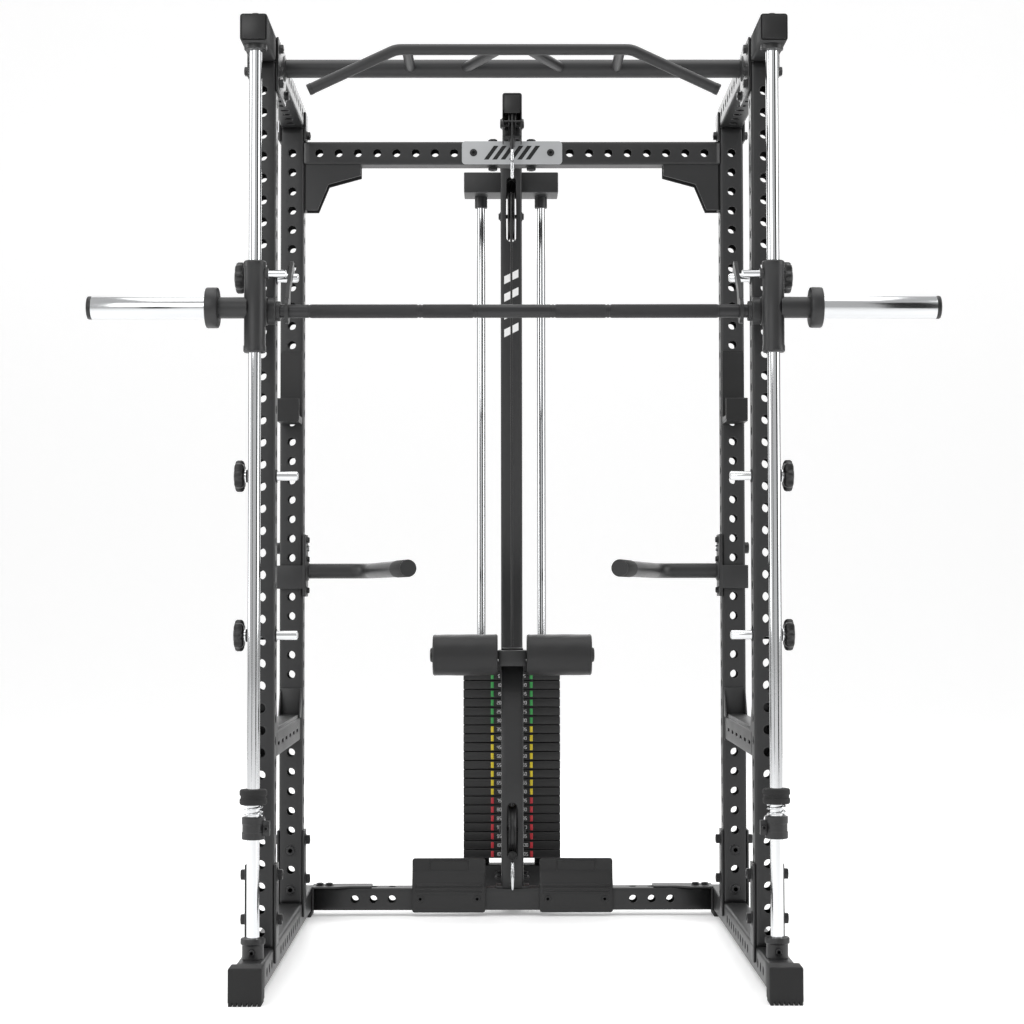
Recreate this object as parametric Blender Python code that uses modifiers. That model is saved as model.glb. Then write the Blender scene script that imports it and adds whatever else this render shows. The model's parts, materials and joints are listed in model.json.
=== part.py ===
"""Half rack with a guided bar and a lat and low-row weight tower, as separate named pieces.

Metres, +Z up. The origin is on the floor, in the middle of the object's footprint: +X is to the
right of a person who faces the rack, and +Y points from the open front towards the weight tower.
"""
import math

import bmesh
import bpy
from mathutils import Matrix, Vector

# ------------------------------------------------------------------ frame: driving dimensions
TUBE = 0.060                 # side of every square frame tube
TUBE_WALL = 0.003
TUBE_CORNER = 0.005
HOLE_FIT = 0.001             # adjustment holes are this much wider than the catch pins
HOLE_PITCH = 0.050
HOLE_SIDES = 4
HOLE_COUNT = 39              # down the front of each upright
CLEARANCE = 0.0003           # between pieces that touch
SLIDING_GAP = 0.0008         # between pieces that move on each other
SINK = 0.0007                # how far a welded piece reaches into the one it is welded to
PLATE = 0.005                # bracket plate

HALF_WIDTH = 0.570           # middle plane to the middle of an upright
UPRIGHT_SPACING = 0.700      # front upright to rear upright
FRONT_Y = -0.537             # middle of the front uprights
BASE_Z = 0.015               # floor to the underside of the base tubes
UPRIGHT_LENGTH = 2.002
BEAM_OVERHANG = 0.213        # side beam in front of the middle of the front upright
ROD_FORWARD = 0.173          # guide rod in front of the middle of the front upright
RUNNER_OVERHANG = 0.315      # runner in front of the middle of the front upright
CROSSMEMBER_BEHIND = 0.287   # floor crossmember behind the middle of the rear upright
CROSSBEAM_DROP = 0.067       # middle of the rear top crossbeam under the side beam
SHOE_WIDTH = 0.072
SHOE_HEIGHT = 0.080
SHOE_DEPTH = 0.060
SHOE_FACE = 0.012            # rubber in front of the runner's end
BRACKET_REACH = 0.185        # upright brackets over the runner
SADDLE_REACH = 0.036         # top plates under the side beam
BOLT_HEAD = 0.023
BOLT_THICK = 0.010

# ------------------------------------------------------------------ guided bar
ROD_DIAMETER = 0.028
CUP_DIAMETER = 0.045
CUP_HEIGHT = 0.045
FLANGE_DIAMETER = 0.050
FLANGE_THICK = 0.012
BAR_Z = 1.495                # bar at rest, on the top catch pins
BAR_BEHIND = 0.059           # bar behind the guide rods
BAR_DIAMETER = 0.030
CARRIAGE_DIAMETER = 0.050
CARRIAGE_BELOW = 0.099
CARRIAGE_ABOVE = 0.103
STUB_DIAMETER = 0.047
COLLAR_DIAMETER = 0.090
COLLAR_START = 0.079         # from the rod's axis outwards
COLLAR_THICK = 0.028
SLEEVE_DIAMETER = 0.050
SLEEVE_LENGTH = 0.2515
SLEEVE_CAP = 0.009
BEARING_DIAMETER = 0.064
BEARING_WIDTH = 0.044
HUB_DIAMETER = 0.060
HUB_WIDTH = 0.027
HOOK_THICK = 0.008
HOOK_X = 0.065               # hook plate, inwards of the upright's middle
HOOK_BAND = 0.024            # width of the hook's steel
STOP_PIN_DIAMETER = 0.017
STOP_PIN_ABOVE = 0.075
CATCH_PIN_DIAMETER = 0.020
CATCH_PIN_INSIDE = 0.050     # pin past the upright's inner face
CATCH_PIN_Z = {"top": 1.586, "middle": 1.134, "low": 0.773}
KNOB_DIAMETER = 0.072
KNOB_THICK = 0.024
KNOB_STAND_OFF = 0.011
BUMPER_Z = 0.333             # underside of the clamp under the bumper spring
CLAMP_HEIGHT = 0.049
SPRING_HEIGHT = 0.026
SPRING_GAP = 0.003           # rod to the inside of the coil
SPRING_WIRE = 0.004
SPRING_TURNS = 2.5
BUMPER_HEIGHT = 0.034
BUMPER_DIAMETER = 0.060

# ------------------------------------------------------------------ things hung on the frame
PULL_UP_DIAMETER = 0.042
PULL_UP_BEHIND = 0.100       # pull-up crossbar behind the middle of the front upright
PULL_UP_RISE = 0.014         # over the underside of the side beam
GRIP_DIAMETER = 0.025
GRIP_FORWARD = 0.079         # front grip bar in front of the middle of the front upright
GRIP_HALF_STRAIGHT = 0.265
GRIP_HALF_WIDTH = 0.462
GRIP_END_DROP = 0.092
CUP_SHELF_Z = 1.304          # underside of the bar holders
CUP_WIDTH = 0.054
CUP_TALL = 0.190
CUP_LIP = 0.060
CUP_SEAT = 0.080
PEG_DIAMETER = 0.018
DIP_Z = 0.926
DIP_DIAMETER = 0.040
DIP_ELBOW_X = 0.370
DIP_END_X = 0.245
DIP_REACH = 0.593            # end of a dip handle in front of the middle of the rear upright
SAFETY_Z = 0.492
SAFETY_HEIGHT = 0.060
SAFETY_WIDTH = 0.050
SAFETY_BRACKET = 0.136
LINER = 0.008
NAME_PLATE_WIDTH = 0.260
NAME_PLATE_THICK = 0.003

# ------------------------------------------------------------------ weight tower
MAST_BEHIND = 0.478          # mast behind the middle of the rear upright
BOOM_WIDTH = 0.050
BOOM_HEIGHT = 0.074
BOOM_FRONT = 0.103           # boom's end in front of the middle of the rear upright
STACK_BEHIND = 0.109         # weight stack behind the mast
STACK_ROD_DIAMETER = 0.025
STACK_ROD_X = 0.086
STACK_WIDTH = 0.273
STACK_DEPTH = 0.120
PLATE_PITCH = 0.025
RESTING_PLATES = 13
LIFTED_PLATES = 8
STACK_Z = 0.122              # underside of the lowest weight plate
SEAT_TOP = 0.099
STEM_DIAMETER = 0.023
CABLE_DIAMETER = 0.006
CABLE_BORE = 0.012
PULLEY_WIDTH = 0.020
PULLEY_SLOT = 0.028
AXLE_DIAMETER = 0.012
MAST_PULLEY_RADIUS = 0.068
MAST_PULLEY_Z = 1.932
LOW_PULLEY_RADIUS = 0.066
LOW_PULLEY_Z = 0.229
BOOM_PULLEY_RADIUS = 0.043
BOOM_REAR_RADIUS = 0.036
GROOVE = 0.0045              # depth of a pulley's groove
POST_TOP = 0.720
ROLLER_DIAMETER = 0.111
ROLLER_START = 0.039
ROLLER_LENGTH = 0.175
ROLLER_Z = 0.702
ROLLER_FORWARD = 0.045       # roller axle in front of the middle of the post
ROLLER_AXLE = 0.025
FOOT_PLATE_START = 0.073
FOOT_PLATE_WIDTH = 0.197
FOOT_PLATE_TOP = 0.153
CARABINER_LENGTH = 0.080
CARABINER_WIDTH = 0.040
CARABINER_WIRE = 0.008

# ------------------------------------------------------------------ sizes that follow
HALF_TUBE = TUBE / 2
BASE_TOP = BASE_Z + TUBE
BASE_MIDDLE = BASE_Z + HALF_TUBE
UPRIGHT_FOOT = BASE_TOP + CLEARANCE
BEAM_Z = BASE_TOP + UPRIGHT_LENGTH
BEAM_TOP = BEAM_Z + TUBE
REAR_Y = FRONT_Y + UPRIGHT_SPACING
ROD_Y = FRONT_Y - ROD_FORWARD
BAR_Y = ROD_Y + BAR_BEHIND
ROD_RADIUS = ROD_DIAMETER / 2
ROD_HOLE = ROD_RADIUS + SLIDING_GAP
SPRING_DIAMETER = 2 * (ROD_RADIUS + SPRING_GAP + SPRING_WIRE)
INNER_X = HALF_WIDTH - HALF_TUBE
OUTER_X = HALF_WIDTH + HALF_TUBE
RUNNER_FRONT = FRONT_Y - RUNNER_OVERHANG
CROSS_Y = REAR_Y + CROSSMEMBER_BEHIND
RUNNER_REAR = CROSS_Y + HALF_TUBE
CROSSBEAM_Z = BEAM_Z - CROSSBEAM_DROP
MAST_Y = REAR_Y + MAST_BEHIND
STACK_Y = MAST_Y + STACK_BEHIND
PULL_UP_Z = BEAM_Z + PULL_UP_RISE
CABLE_SEAT = GROOVE - CABLE_DIAMETER / 2 - CLEARANCE
BOOM_Z = BEAM_Z - 0.001
BOOM_FRONT_Y = REAR_Y - BOOM_FRONT
BOOM_PULLEY_Z = BOOM_Z + 0.001
REAR_PULLEY_Z = BOOM_PULLEY_Z + BOOM_PULLEY_RADIUS - BOOM_REAR_RADIUS
FRONT_PULLEY_Y = BOOM_FRONT_Y + 0.045
REAR_PULLEY_Y = STACK_Y - BOOM_REAR_RADIUS + CABLE_SEAT
BOOM_REAR_Y = REAR_PULLEY_Y + BOOM_REAR_RADIUS + 0.020
LAT_HOOK_TOP = BOOM_Z - 0.067
LOW_STOP_Y = CROSS_Y - 0.052
HOLE_DIAMETER = CATCH_PIN_DIAMETER + HOLE_FIT
HOLE_RADIUS = HOLE_DIAMETER / 2
# A hole is drawn as a square around its circle, so that a round peg of the hole's size still passes.
HOLE_CORNER = HOLE_RADIUS / math.cos(math.pi / HOLE_SIDES)
FIRST_HOLE_Z = BASE_TOP + 0.035
DIP_PIN_Z = FIRST_HOLE_Z + HOLE_PITCH * 17.5
SAFETY_PEG_Z = FIRST_HOLE_Z + HOLE_PITCH * 10
SIDES = ((-1, "left"), (1, "right"))
ENDS = ((FRONT_Y, "front"), (REAR_Y, "rear"))


# ------------------------------------------------------------------ collections and materials
for old in list(bpy.data.objects):
    bpy.data.objects.remove(old, do_unlink=True)

PARTS = bpy.data.collections.new("half_rack")
CUTTERS = bpy.data.collections.new("cutters")
bpy.context.scene.collection.children.link(PARTS)
bpy.context.scene.collection.children.link(CUTTERS)


def finish(name, colour, roughness, metallic=0.0):
    """Return a Principled material."""
    material = bpy.data.materials.new(name)
    material.use_nodes = True
    shader = material.node_tree.nodes["Principled BSDF"]
    shader.inputs["Base Color"].default_value = (*colour, 1.0)
    shader.inputs["Roughness"].default_value = roughness
    shader.inputs["Metallic"].default_value = metallic
    return material


POWDER = finish("powder_coat", (0.055, 0.056, 0.060), 0.45)
CHROME = finish("chrome", (0.80, 0.81, 0.82), 0.12, 1.0)
RUBBER = finish("black_rubber", (0.020, 0.020, 0.020), 0.80)
PLASTIC = finish("black_plastic", (0.030, 0.030, 0.032), 0.50)
SILVER = finish("silver_plate", (0.62, 0.63, 0.64), 0.35, 0.8)
FOAM = finish("foam_cover", (0.030, 0.030, 0.032), 0.75)
CABLE = finish("coated_cable", (0.015, 0.015, 0.016), 0.50)


# ------------------------------------------------------------------ shape tools
TURNS = {
    "X": Matrix(((0, 0, 1, 0), (1, 0, 0, 0), (0, 1, 0, 0), (0, 0, 0, 1))),
    "Y": Matrix(((0, 1, 0, 0), (0, 0, 1, 0), (1, 0, 0, 0), (0, 0, 0, 1))),
    "Z": Matrix.Identity(4),
}


def held(data, name="cutter"):
    """Put a finished bmesh into a hidden object, ready to be a node or a cutter."""
    mesh = bpy.data.meshes.new(name)
    data.to_mesh(mesh)
    data.free()
    obj = bpy.data.objects.new(name, mesh)
    obj.hide_render = True
    obj.display_type = "WIRE"
    CUTTERS.objects.link(obj)
    return obj


def blocks(spans):
    """Separate blocks, each between a low and a high value along each axis, in either order."""
    data = bmesh.new()
    for span in spans:
        pairs = [sorted(pair) for pair in span]
        middle = Vector([(low + high) / 2 for low, high in pairs])
        size = Vector([high - low for low, high in pairs])
        place = Matrix.Translation(middle) @ Matrix.Diagonal(size.to_4d())
        bmesh.ops.create_cube(data, size=1.0, matrix=place)
    return held(data)


def box(x, y, z):
    """One block."""
    return blocks([(x, y, z)])


def rods(places, axis, radius, start, end, sides=12):
    """Round bars along an axis: places are the two other coordinates, in X, Y, Z order."""
    data = bmesh.new()
    middle = (start + end) / 2
    for first, second in places:
        centre = {"X": (middle, first, second), "Y": (first, middle, second),
                  "Z": (first, second, middle)}[axis]
        bmesh.ops.create_cone(
            data, cap_ends=True, segments=sides, radius1=radius, radius2=radius,
            depth=abs(end - start), matrix=Matrix.Translation(centre) @ TURNS[axis])
    return held(data)


def baked(obj, place=None, flat_faces=False):
    """Swap a curve or a modified object for the plain closed mesh that it draws."""
    bpy.context.view_layer.update()
    evaluated = obj.evaluated_get(bpy.context.evaluated_depsgraph_get())
    mesh = bpy.data.meshes.new_from_object(evaluated)
    data = bmesh.new()
    data.from_mesh(mesh)
    bpy.data.meshes.remove(mesh)
    bpy.data.objects.remove(obj, do_unlink=True)
    bmesh.ops.remove_doubles(data, verts=data.verts, dist=0.00001)
    if flat_faces:
        bmesh.ops.dissolve_limit(data, angle_limit=math.radians(0.5), verts=data.verts, edges=data.edges)
    if place is not None:
        bmesh.ops.transform(data, matrix=place, verts=data.verts)
    bmesh.ops.recalc_face_normals(data, faces=data.faces)
    return held(data)


def poly_spline(curve, points, cyclic):
    """Add a straight-sided spline to a curve."""
    spline = curve.splines.new("POLY")
    spline.points.add(len(points) - 1)
    for target, point in zip(spline.points, points):
        target.co = (*Vector(point).to_3d(), 1.0)
    spline.use_cyclic_u = cyclic


def extrusion(loops, axis, start, end):
    """A flat outline, with any holes in it, carried along an axis.

    Points are the two other coordinates, in X, Y, Z order.
    """
    curve = bpy.data.curves.new("outline", "CURVE")
    curve.dimensions = "2D"
    curve.fill_mode = "BOTH"
    curve.extrude = abs(end - start) / 2
    for loop in loops:
        flat = [(b, a) for a, b in loop] if axis == "Y" else list(loop)
        poly_spline(curve, flat, True)
    obj = bpy.data.objects.new("outline", curve)
    CUTTERS.objects.link(obj)
    shift = {"X": (1, 0, 0), "Y": (0, 1, 0), "Z": (0, 0, 1)}[axis]
    middle = Vector(shift) * (start + end) / 2
    return baked(obj, Matrix.Translation(middle) @ TURNS[axis], True)


def pipe(points, radius, cyclic=False, detail=2):
    """A round wire or tube along points."""
    curve = bpy.data.curves.new("route", "CURVE")
    curve.dimensions = "3D"
    curve.bevel_depth = radius
    curve.bevel_resolution = detail
    curve.use_fill_caps = True
    poly_spline(curve, points, cyclic)
    obj = bpy.data.objects.new("route", curve)
    CUTTERS.objects.link(obj)
    return baked(obj)


def turned(profile, axis, centre, sides=16):
    """A closed ring profile of (radius, height) points turned about an axis through centre."""
    data = bmesh.new()
    corners = [data.verts.new((radius, 0.0, height)) for radius, height in profile]
    for first, second in zip(corners, corners[1:] + corners[:1]):
        data.edges.new((first, second))
    obj = held(data)
    screw = obj.modifiers.new("turn", "SCREW")
    screw.steps = sides
    screw.render_steps = sides
    screw.use_merge_vertices = True
    screw.merge_threshold = 0.00001
    return baked(obj, Matrix.Translation(centre) @ TURNS[axis])


def joined(target, pieces, operation="UNION"):
    """Join pieces to a solid, or cut them out of it, and return the solid."""
    for piece in pieces:
        modifier = target.modifiers.new(operation.lower(), "BOOLEAN")
        modifier.operation = operation
        modifier.solver = "EXACT"
        modifier.object = piece
    return target


def node(name, solid, material, cut=(), add=(), pivot=None):
    """Name a solid as a piece of the object, and hang a moving one on an empty at its axis."""
    joined(solid, add)
    joined(solid, cut, "DIFFERENCE")
    solid.name = name
    solid.data.name = name
    solid.data.materials.append(material)
    solid.data.shade_smooth()
    solid.data.set_sharp_from_angle(angle=math.radians(35))
    solid.hide_render = False
    solid.display_type = "TEXTURED"
    CUTTERS.objects.unlink(solid)
    PARTS.objects.link(solid)
    if pivot is not None:
        axis = bpy.data.objects.new(name + "_axis", None)
        axis.empty_display_size = 0.05
        axis.location = pivot
        PARTS.objects.link(axis)
        solid.parent = axis
        solid.matrix_parent_inverse = Matrix.Translation(pivot).inverted()
    return solid


# ------------------------------------------------------------------ outlines
def rounded_rectangle(middle, width, height, corner, steps=2):
    """Corner points of a rectangle with rounded corners."""
    points = []
    for quarter, (right, up) in enumerate(((1, 1), (-1, 1), (-1, -1), (1, -1))):
        centre_a = middle[0] + right * (width / 2 - corner)
        centre_b = middle[1] + up * (height / 2 - corner)
        for step in range(steps + 1):
            angle = (quarter + step / steps) * math.pi / 2
            points.append((centre_a + corner * math.cos(angle), centre_b + corner * math.sin(angle)))
    return points


def square_tube(axis, middle, start, end, width=TUBE, height=TUBE):
    """An open-ended box tube with rounded corners."""
    inner_corner = max(TUBE_CORNER - TUBE_WALL, 0.0005)
    outer = rounded_rectangle(middle, width, height, TUBE_CORNER, 1)
    inner = rounded_rectangle(middle, width - 2 * TUBE_WALL, height - 2 * TUBE_WALL, inner_corner, 1)
    return extrusion([outer, inner], axis, start, end)


def arc(centre, radius, first, last, steps):
    """Points on an arc, angles in degrees from the first axis towards the second."""
    angles = [math.radians(first + (last - first) * step / steps) for step in range(steps + 1)]
    return [(centre[0] + radius * math.cos(a), centre[1] + radius * math.sin(a)) for a in angles]


def bent(points, radius, steps=4):
    """A path whose inner corners are rounded to a radius."""
    path = [Vector(points[0])]
    for before, corner, after in zip(points, points[1:], points[2:]):
        corner = Vector(corner)
        back = (Vector(before) - corner).normalized()
        ahead = (Vector(after) - corner).normalized()
        half = back.angle(ahead) / 2
        trim = radius / math.tan(half)
        centre = corner + (back + ahead).normalized() * radius / math.sin(half)
        from_centre = corner + back * trim - centre
        to_centre = corner + ahead * trim - centre
        for step in range(steps + 1):
            share = step / steps
            angle = from_centre.angle(to_centre)
            spread = (from_centre * math.sin((1 - share) * angle) + to_centre * math.sin(share * angle))
            path.append(centre + spread / math.sin(angle))
    path.append(Vector(points[-1]))
    return path


# ------------------------------------------------------------------ base
def runner(side, name):
    """Floor runner with the welded upright brackets, their bolts and the guide rod's cup."""
    middle = side * HALF_WIDTH
    tube = square_tube("Y", (middle, BASE_MIDDLE), RUNNER_FRONT, RUNNER_REAR)
    top = BASE_TOP + BRACKET_REACH
    near = HALF_TUBE + CLEARANCE
    outline = [(HALF_TUBE - SINK, BASE_MIDDLE), (near + PLATE, BASE_MIDDLE), (near + PLATE, top),
               (near, top), (near, BASE_TOP - SINK), (HALF_TUBE - SINK, BASE_TOP - SINK)]
    welded = []
    for y, _ in ENDS:
        for face in (-1, 1):
            loop = [(middle + face * x, z) for x, z in outline]
            welded.append(extrusion([loop], "Y", y - HALF_TUBE, y + HALF_TUBE))
            reach = [middle + face * (near + PLATE - SINK), middle + face * (near + PLATE + BOLT_THICK)]
            heads = [(y, FIRST_HOLE_Z + HOLE_PITCH * k - HOLE_PITCH / 2) for k in (1, 3)]
            welded.append(rods(heads, "X", BOLT_HEAD / 2, min(reach), max(reach), 6))
    cup_top = BASE_TOP + CUP_HEIGHT
    welded.append(rods([(middle, ROD_Y)], "Z", CUP_DIAMETER / 2, BASE_TOP - SINK, cup_top, 12))
    bore = rods([(middle, ROD_Y)], "Z", ROD_HOLE, BASE_TOP + PLATE, cup_top + SINK, 12)
    node("runner_" + name, tube, POWDER, add=welded, cut=[bore])


def front_shoe(side, name):
    """Rubber shoe that the runner's front end sits in."""
    middle = side * HALF_WIDTH
    face = RUNNER_FRONT - SHOE_FACE
    block = box((middle - SHOE_WIDTH / 2, middle + SHOE_WIDTH / 2), (face, face + SHOE_DEPTH),
                (0, SHOE_HEIGHT))
    fit = HALF_TUBE + CLEARANCE
    pocket = box((middle - fit, middle + fit), (RUNNER_FRONT - CLEARANCE, face + SHOE_DEPTH + SINK),
                 (BASE_MIDDLE - fit, BASE_MIDDLE + fit))
    node("front_shoe_" + name, block, RUBBER, cut=[pocket])


def rear_foot(side, name):
    """Rubber foot under the runner's rear end, which also closes the tube."""
    middle = side * HALF_WIDTH
    back = RUNNER_REAR + CLEARANCE
    under = BASE_Z - CLEARANCE
    outline = [(back - 0.085, 0), (back + 0.006, 0), (back + 0.006, BASE_TOP), (back, BASE_TOP),
               (back, under), (back - 0.085, under)]
    node("rear_foot_" + name, extrusion([outline], "X", middle - HALF_TUBE, middle + HALF_TUBE), RUBBER)


def floor_crossmember():
    """Tube between the runners' rear ends, with a stepped flange plate at each end."""
    end = INNER_X - CLEARANCE
    tube = square_tube("X", (CROSS_Y, BASE_MIDDLE), -end, end)
    welded = []
    for side, _ in SIDES:
        steps = [(0, -0.045), (0.060, -0.045), (0.100, 0.002 - HALF_TUBE), (0.160, 0.002 - HALF_TUBE),
                 (0.160, HALF_TUBE - 0.002), (0, HALF_TUBE - 0.002)]
        outline = [(side * (end - x), CROSS_Y + y) for x, y in steps]
        welded.append(extrusion([outline], "Z", BASE_TOP - SINK, BASE_TOP + PLATE))
    node("floor_crossmember", tube, POWDER, add=welded)


# ------------------------------------------------------------------ uprights, beams and guide rods
def upright(side, name, y, end):
    """Upright tube with adjustment holes down its front, and holes where pegs and pins pass."""
    middle = side * HALF_WIDTH
    tube = square_tube("Z", (middle, y), UPRIGHT_FOOT, BEAM_Z - CLEARANCE)
    heights = [FIRST_HOLE_Z + HOLE_PITCH * k for k in range(HOLE_COUNT)]
    reach = HALF_TUBE + PLATE
    grid = rods([(middle, z) for z in heights], "Y", HOLE_CORNER, y - reach, y, HOLE_SIDES)
    crossing = CATCH_PIN_Z.values() if end == "front" else [DIP_PIN_Z]
    pins = rods([(y, z) for z in crossing], "X", HOLE_CORNER, middle - reach, middle + reach, HOLE_SIDES)
    peg = rods([(middle, SAFETY_PEG_Z)], "Y", HOLE_CORNER, y, y + reach, HOLE_SIDES)
    node("_".join(("upright", end, name)), tube, POWDER, cut=[grid, pins, peg])


def side_beam(side, name):
    """Top beam on a front and a rear upright, with saddle plates, bolts and the rod's flange."""
    middle = side * HALF_WIDTH
    front = FRONT_Y - BEAM_OVERHANG
    tube = square_tube("Y", (middle, BEAM_Z + HALF_TUBE), front, REAR_Y + HALF_TUBE)
    near = HALF_TUBE + CLEARANCE
    low = BEAM_Z - SADDLE_REACH
    saddle = [(near, low), (near + PLATE, low), (near + PLATE, BEAM_Z + HALF_TUBE),
              (HALF_TUBE - SINK, BEAM_Z + HALF_TUBE), (HALF_TUBE - SINK, BEAM_Z + SINK),
              (near, BEAM_Z + SINK)]
    loop = [(middle + side * x, z) for x, z in saddle]
    welded = [extrusion([loop], "Y", y - HALF_TUBE, y + HALF_TUBE) for y, _ in ENDS]
    welded.append(box((middle - HALF_TUBE + SINK, middle + HALF_TUBE - SINK), (front - PLATE, front + SINK),
                      (BEAM_Z + SINK, BEAM_TOP - SINK)))
    welded.append(rods([(middle, ROD_Y)], "Z", FLANGE_DIAMETER / 2, BEAM_Z - FLANGE_THICK, BEAM_Z + SINK, 12))
    welded.append(rods([(middle, ROD_Y)], "Z", BOLT_HEAD / 2, BEAM_TOP - SINK, BEAM_TOP + BOLT_THICK, 6))
    bore = rods([(middle, ROD_Y)], "Z", ROD_HOLE, BEAM_Z - FLANGE_THICK - SINK, BEAM_Z - CLEARANCE / 2, 12)
    node("side_beam_" + name, tube, POWDER, add=welded, cut=[bore])


def rear_top_crossbeam():
    """Crossbeam between the rear uprights, with a gusset plate under each end."""
    end = INNER_X - CLEARANCE
    tube = square_tube("X", (REAR_Y, CROSSBEAM_Z), -end, end)
    under = CROSSBEAM_Z - HALF_TUBE
    gusset = [(0, SINK), (0.147, SINK), (0.147, -0.028), (0.063, -0.051), (0.035, -0.118), (0, -0.118)]
    welded = []
    for side, _ in SIDES:
        loop = [(side * (end - x), under + z) for x, z in gusset]
        for y in (REAR_Y - HALF_TUBE + TUBE_CORNER, REAR_Y + HALF_TUBE - TUBE_CORNER - PLATE):
            welded.append(extrusion([loop], "Y", y, y + PLATE))
    node("rear_top_crossbeam", tube, POWDER, add=welded)


def name_plate():
    """Blank silver plate on the front of the crossbeam."""
    outline = rounded_rectangle((0, CROSSBEAM_Z), NAME_PLATE_WIDTH, TUBE, 0.006)
    face = REAR_Y - HALF_TUBE - CLEARANCE
    node("name_plate", extrusion([outline], "Y", face - NAME_PLATE_THICK, face), SILVER)


def guide_rod(side, name):
    """Chrome guide rod with the clamp that carries the bumper's spring."""
    middle = side * HALF_WIDTH
    bar = rods([(middle, ROD_Y)], "Z", ROD_RADIUS, BASE_TOP + PLATE + CLEARANCE, BEAM_Z - 2 * CLEARANCE, 12)
    clamp = rods([(middle, ROD_Y)], "Z", CARRIAGE_DIAMETER / 2, BUMPER_Z, BUMPER_Z + CLAMP_HEIGHT, 12)
    ear = box((middle - side * 0.020, middle - side * 0.036), (ROD_Y - 0.011, ROD_Y + 0.011),
              (BUMPER_Z + 0.008, BUMPER_Z + 0.040))
    node("guide_rod_" + name, bar, CHROME, add=[clamp, ear])


def bumper(side, name):
    """Rubber bumper on its coil spring, both loose on the guide rod."""
    middle = side * HALF_WIDTH
    foot = BUMPER_Z + CLAMP_HEIGHT
    margin = SPRING_WIRE / 2 + CLEARANCE
    low = foot + margin
    rise = SPRING_HEIGHT - 2 * margin
    radius = (SPRING_DIAMETER - SPRING_WIRE) / 2
    count = int(SPRING_TURNS * 8)
    coil = []
    for step in range(count + 1):
        angle = 2 * math.pi * SPRING_TURNS * step / count
        coil.append((middle + radius * math.cos(angle), ROD_Y + radius * math.sin(angle),
                     low + rise * step / count))
    pivot = (middle, ROD_Y, foot)
    node("bumper_spring_" + name, pipe(coil, SPRING_WIRE / 2, detail=1), CHROME, pivot=pivot)
    seat = foot + SPRING_HEIGHT
    outer = BUMPER_DIAMETER / 2
    profile = [(ROD_HOLE, 0), (outer - 0.002, 0), (outer, 0.002), (outer, BUMPER_HEIGHT - 0.002),
               (outer - 0.002, BUMPER_HEIGHT), (ROD_HOLE, BUMPER_HEIGHT)]
    node("bumper_" + name, turned(profile, "Z", (middle, ROD_Y, seat), 12), RUBBER, pivot=pivot)


# ------------------------------------------------------------------ guided bar
def carriage(side, name):
    """Slider on the guide rod, with the bar's bearing, the stop pin and the plate sleeve."""
    middle = side * HALF_WIDTH
    low = BAR_Z - CARRIAGE_BELOW
    high = BAR_Z + CARRIAGE_ABOVE
    solid = rods([(middle, ROD_Y)], "Z", CARRIAGE_DIAMETER / 2, low, high, 12)
    clear = ROD_HOLE + 0.003

    def along(places, radius, start, end, sides=12):
        ends = sorted((middle + side * start, middle + side * end))
        return rods(places, "X", radius, ends[0], ends[1], sides)

    collar_end = COLLAR_START + COLLAR_THICK
    sleeve_end = collar_end + SLEEVE_LENGTH
    half = BEARING_WIDTH / 2
    rod_line = [(ROD_Y, BAR_Z)]
    add = [along(rod_line, STUB_DIAMETER / 2, clear, COLLAR_START + SINK),
           along(rod_line, COLLAR_DIAMETER / 2, COLLAR_START, collar_end, 16),
           along(rod_line, SLEEVE_DIAMETER / 2, collar_end - SINK, sleeve_end),
           along(rod_line, SLEEVE_DIAMETER / 2 + SINK, sleeve_end - SINK, sleeve_end + SLEEVE_CAP),
           along([(BAR_Y, BAR_Z)], BEARING_DIAMETER / 2, -half, half, 16),
           box((middle - half * 0.6, middle + half * 0.6),
               (ROD_Y + clear, BAR_Y - BAR_DIAMETER / 2 - 0.006),
               (BAR_Z - 0.025, BAR_Z + 0.025)),
           along([(ROD_Y, BAR_Z + STOP_PIN_ABOVE)], STOP_PIN_DIAMETER / 2, -clear, -HOOK_X - HOOK_THICK / 2, 8)]
    bar_hole = BAR_DIAMETER / 2 + SLIDING_GAP
    cut = [rods([(middle, ROD_Y)], "Z", ROD_HOLE, low - SINK, high + SINK),
           along([(BAR_Y, BAR_Z)], bar_hole, -half - SINK, half + SINK)]
    node("carriage_" + name, solid, POWDER, add=add, cut=cut, pivot=(middle, ROD_Y, BAR_Z))


def hook_outline():
    """Hook plate around the bar, out past the catch pin: radial and tangential to the bar's axis.

    The inner faces stay a clearance off the pin's circle, so the hook swings off the pin freely.
    """
    over = FRONT_Y - BAR_Y
    up = CATCH_PIN_Z["top"] - BAR_Z
    reach = math.hypot(over, up)
    turn = math.atan2(up, over)
    clear = CATCH_PIN_DIAMETER / 2 + CLEARANCE
    tail = reach + clear
    hub = 0.028
    local = [(hub * 0.55, hub * 0.8), (hub * 1.8, clear + HOOK_BAND),
             (tail + HOOK_BAND * 0.4, clear + HOOK_BAND),
             (tail + HOOK_BAND * 0.7, clear + HOOK_BAND * 0.6), (tail + HOOK_BAND * 0.7, -clear * 0.9),
             (tail + HOOK_BAND * 0.1, -clear * 1.3), (tail, -clear * 1.1), (tail, clear), (hub * 2.2, clear),
             (hub * 1.1, -hub * 0.6)]
    local += arc((0, 0), hub, -40, -305, 10)
    outline = []
    for radial, across in local:
        y = BAR_Y + radial * math.cos(turn) - across * math.sin(turn)
        z = BAR_Z + radial * math.sin(turn) + across * math.cos(turn)
        outline.append((y, z))
    return outline


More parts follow.
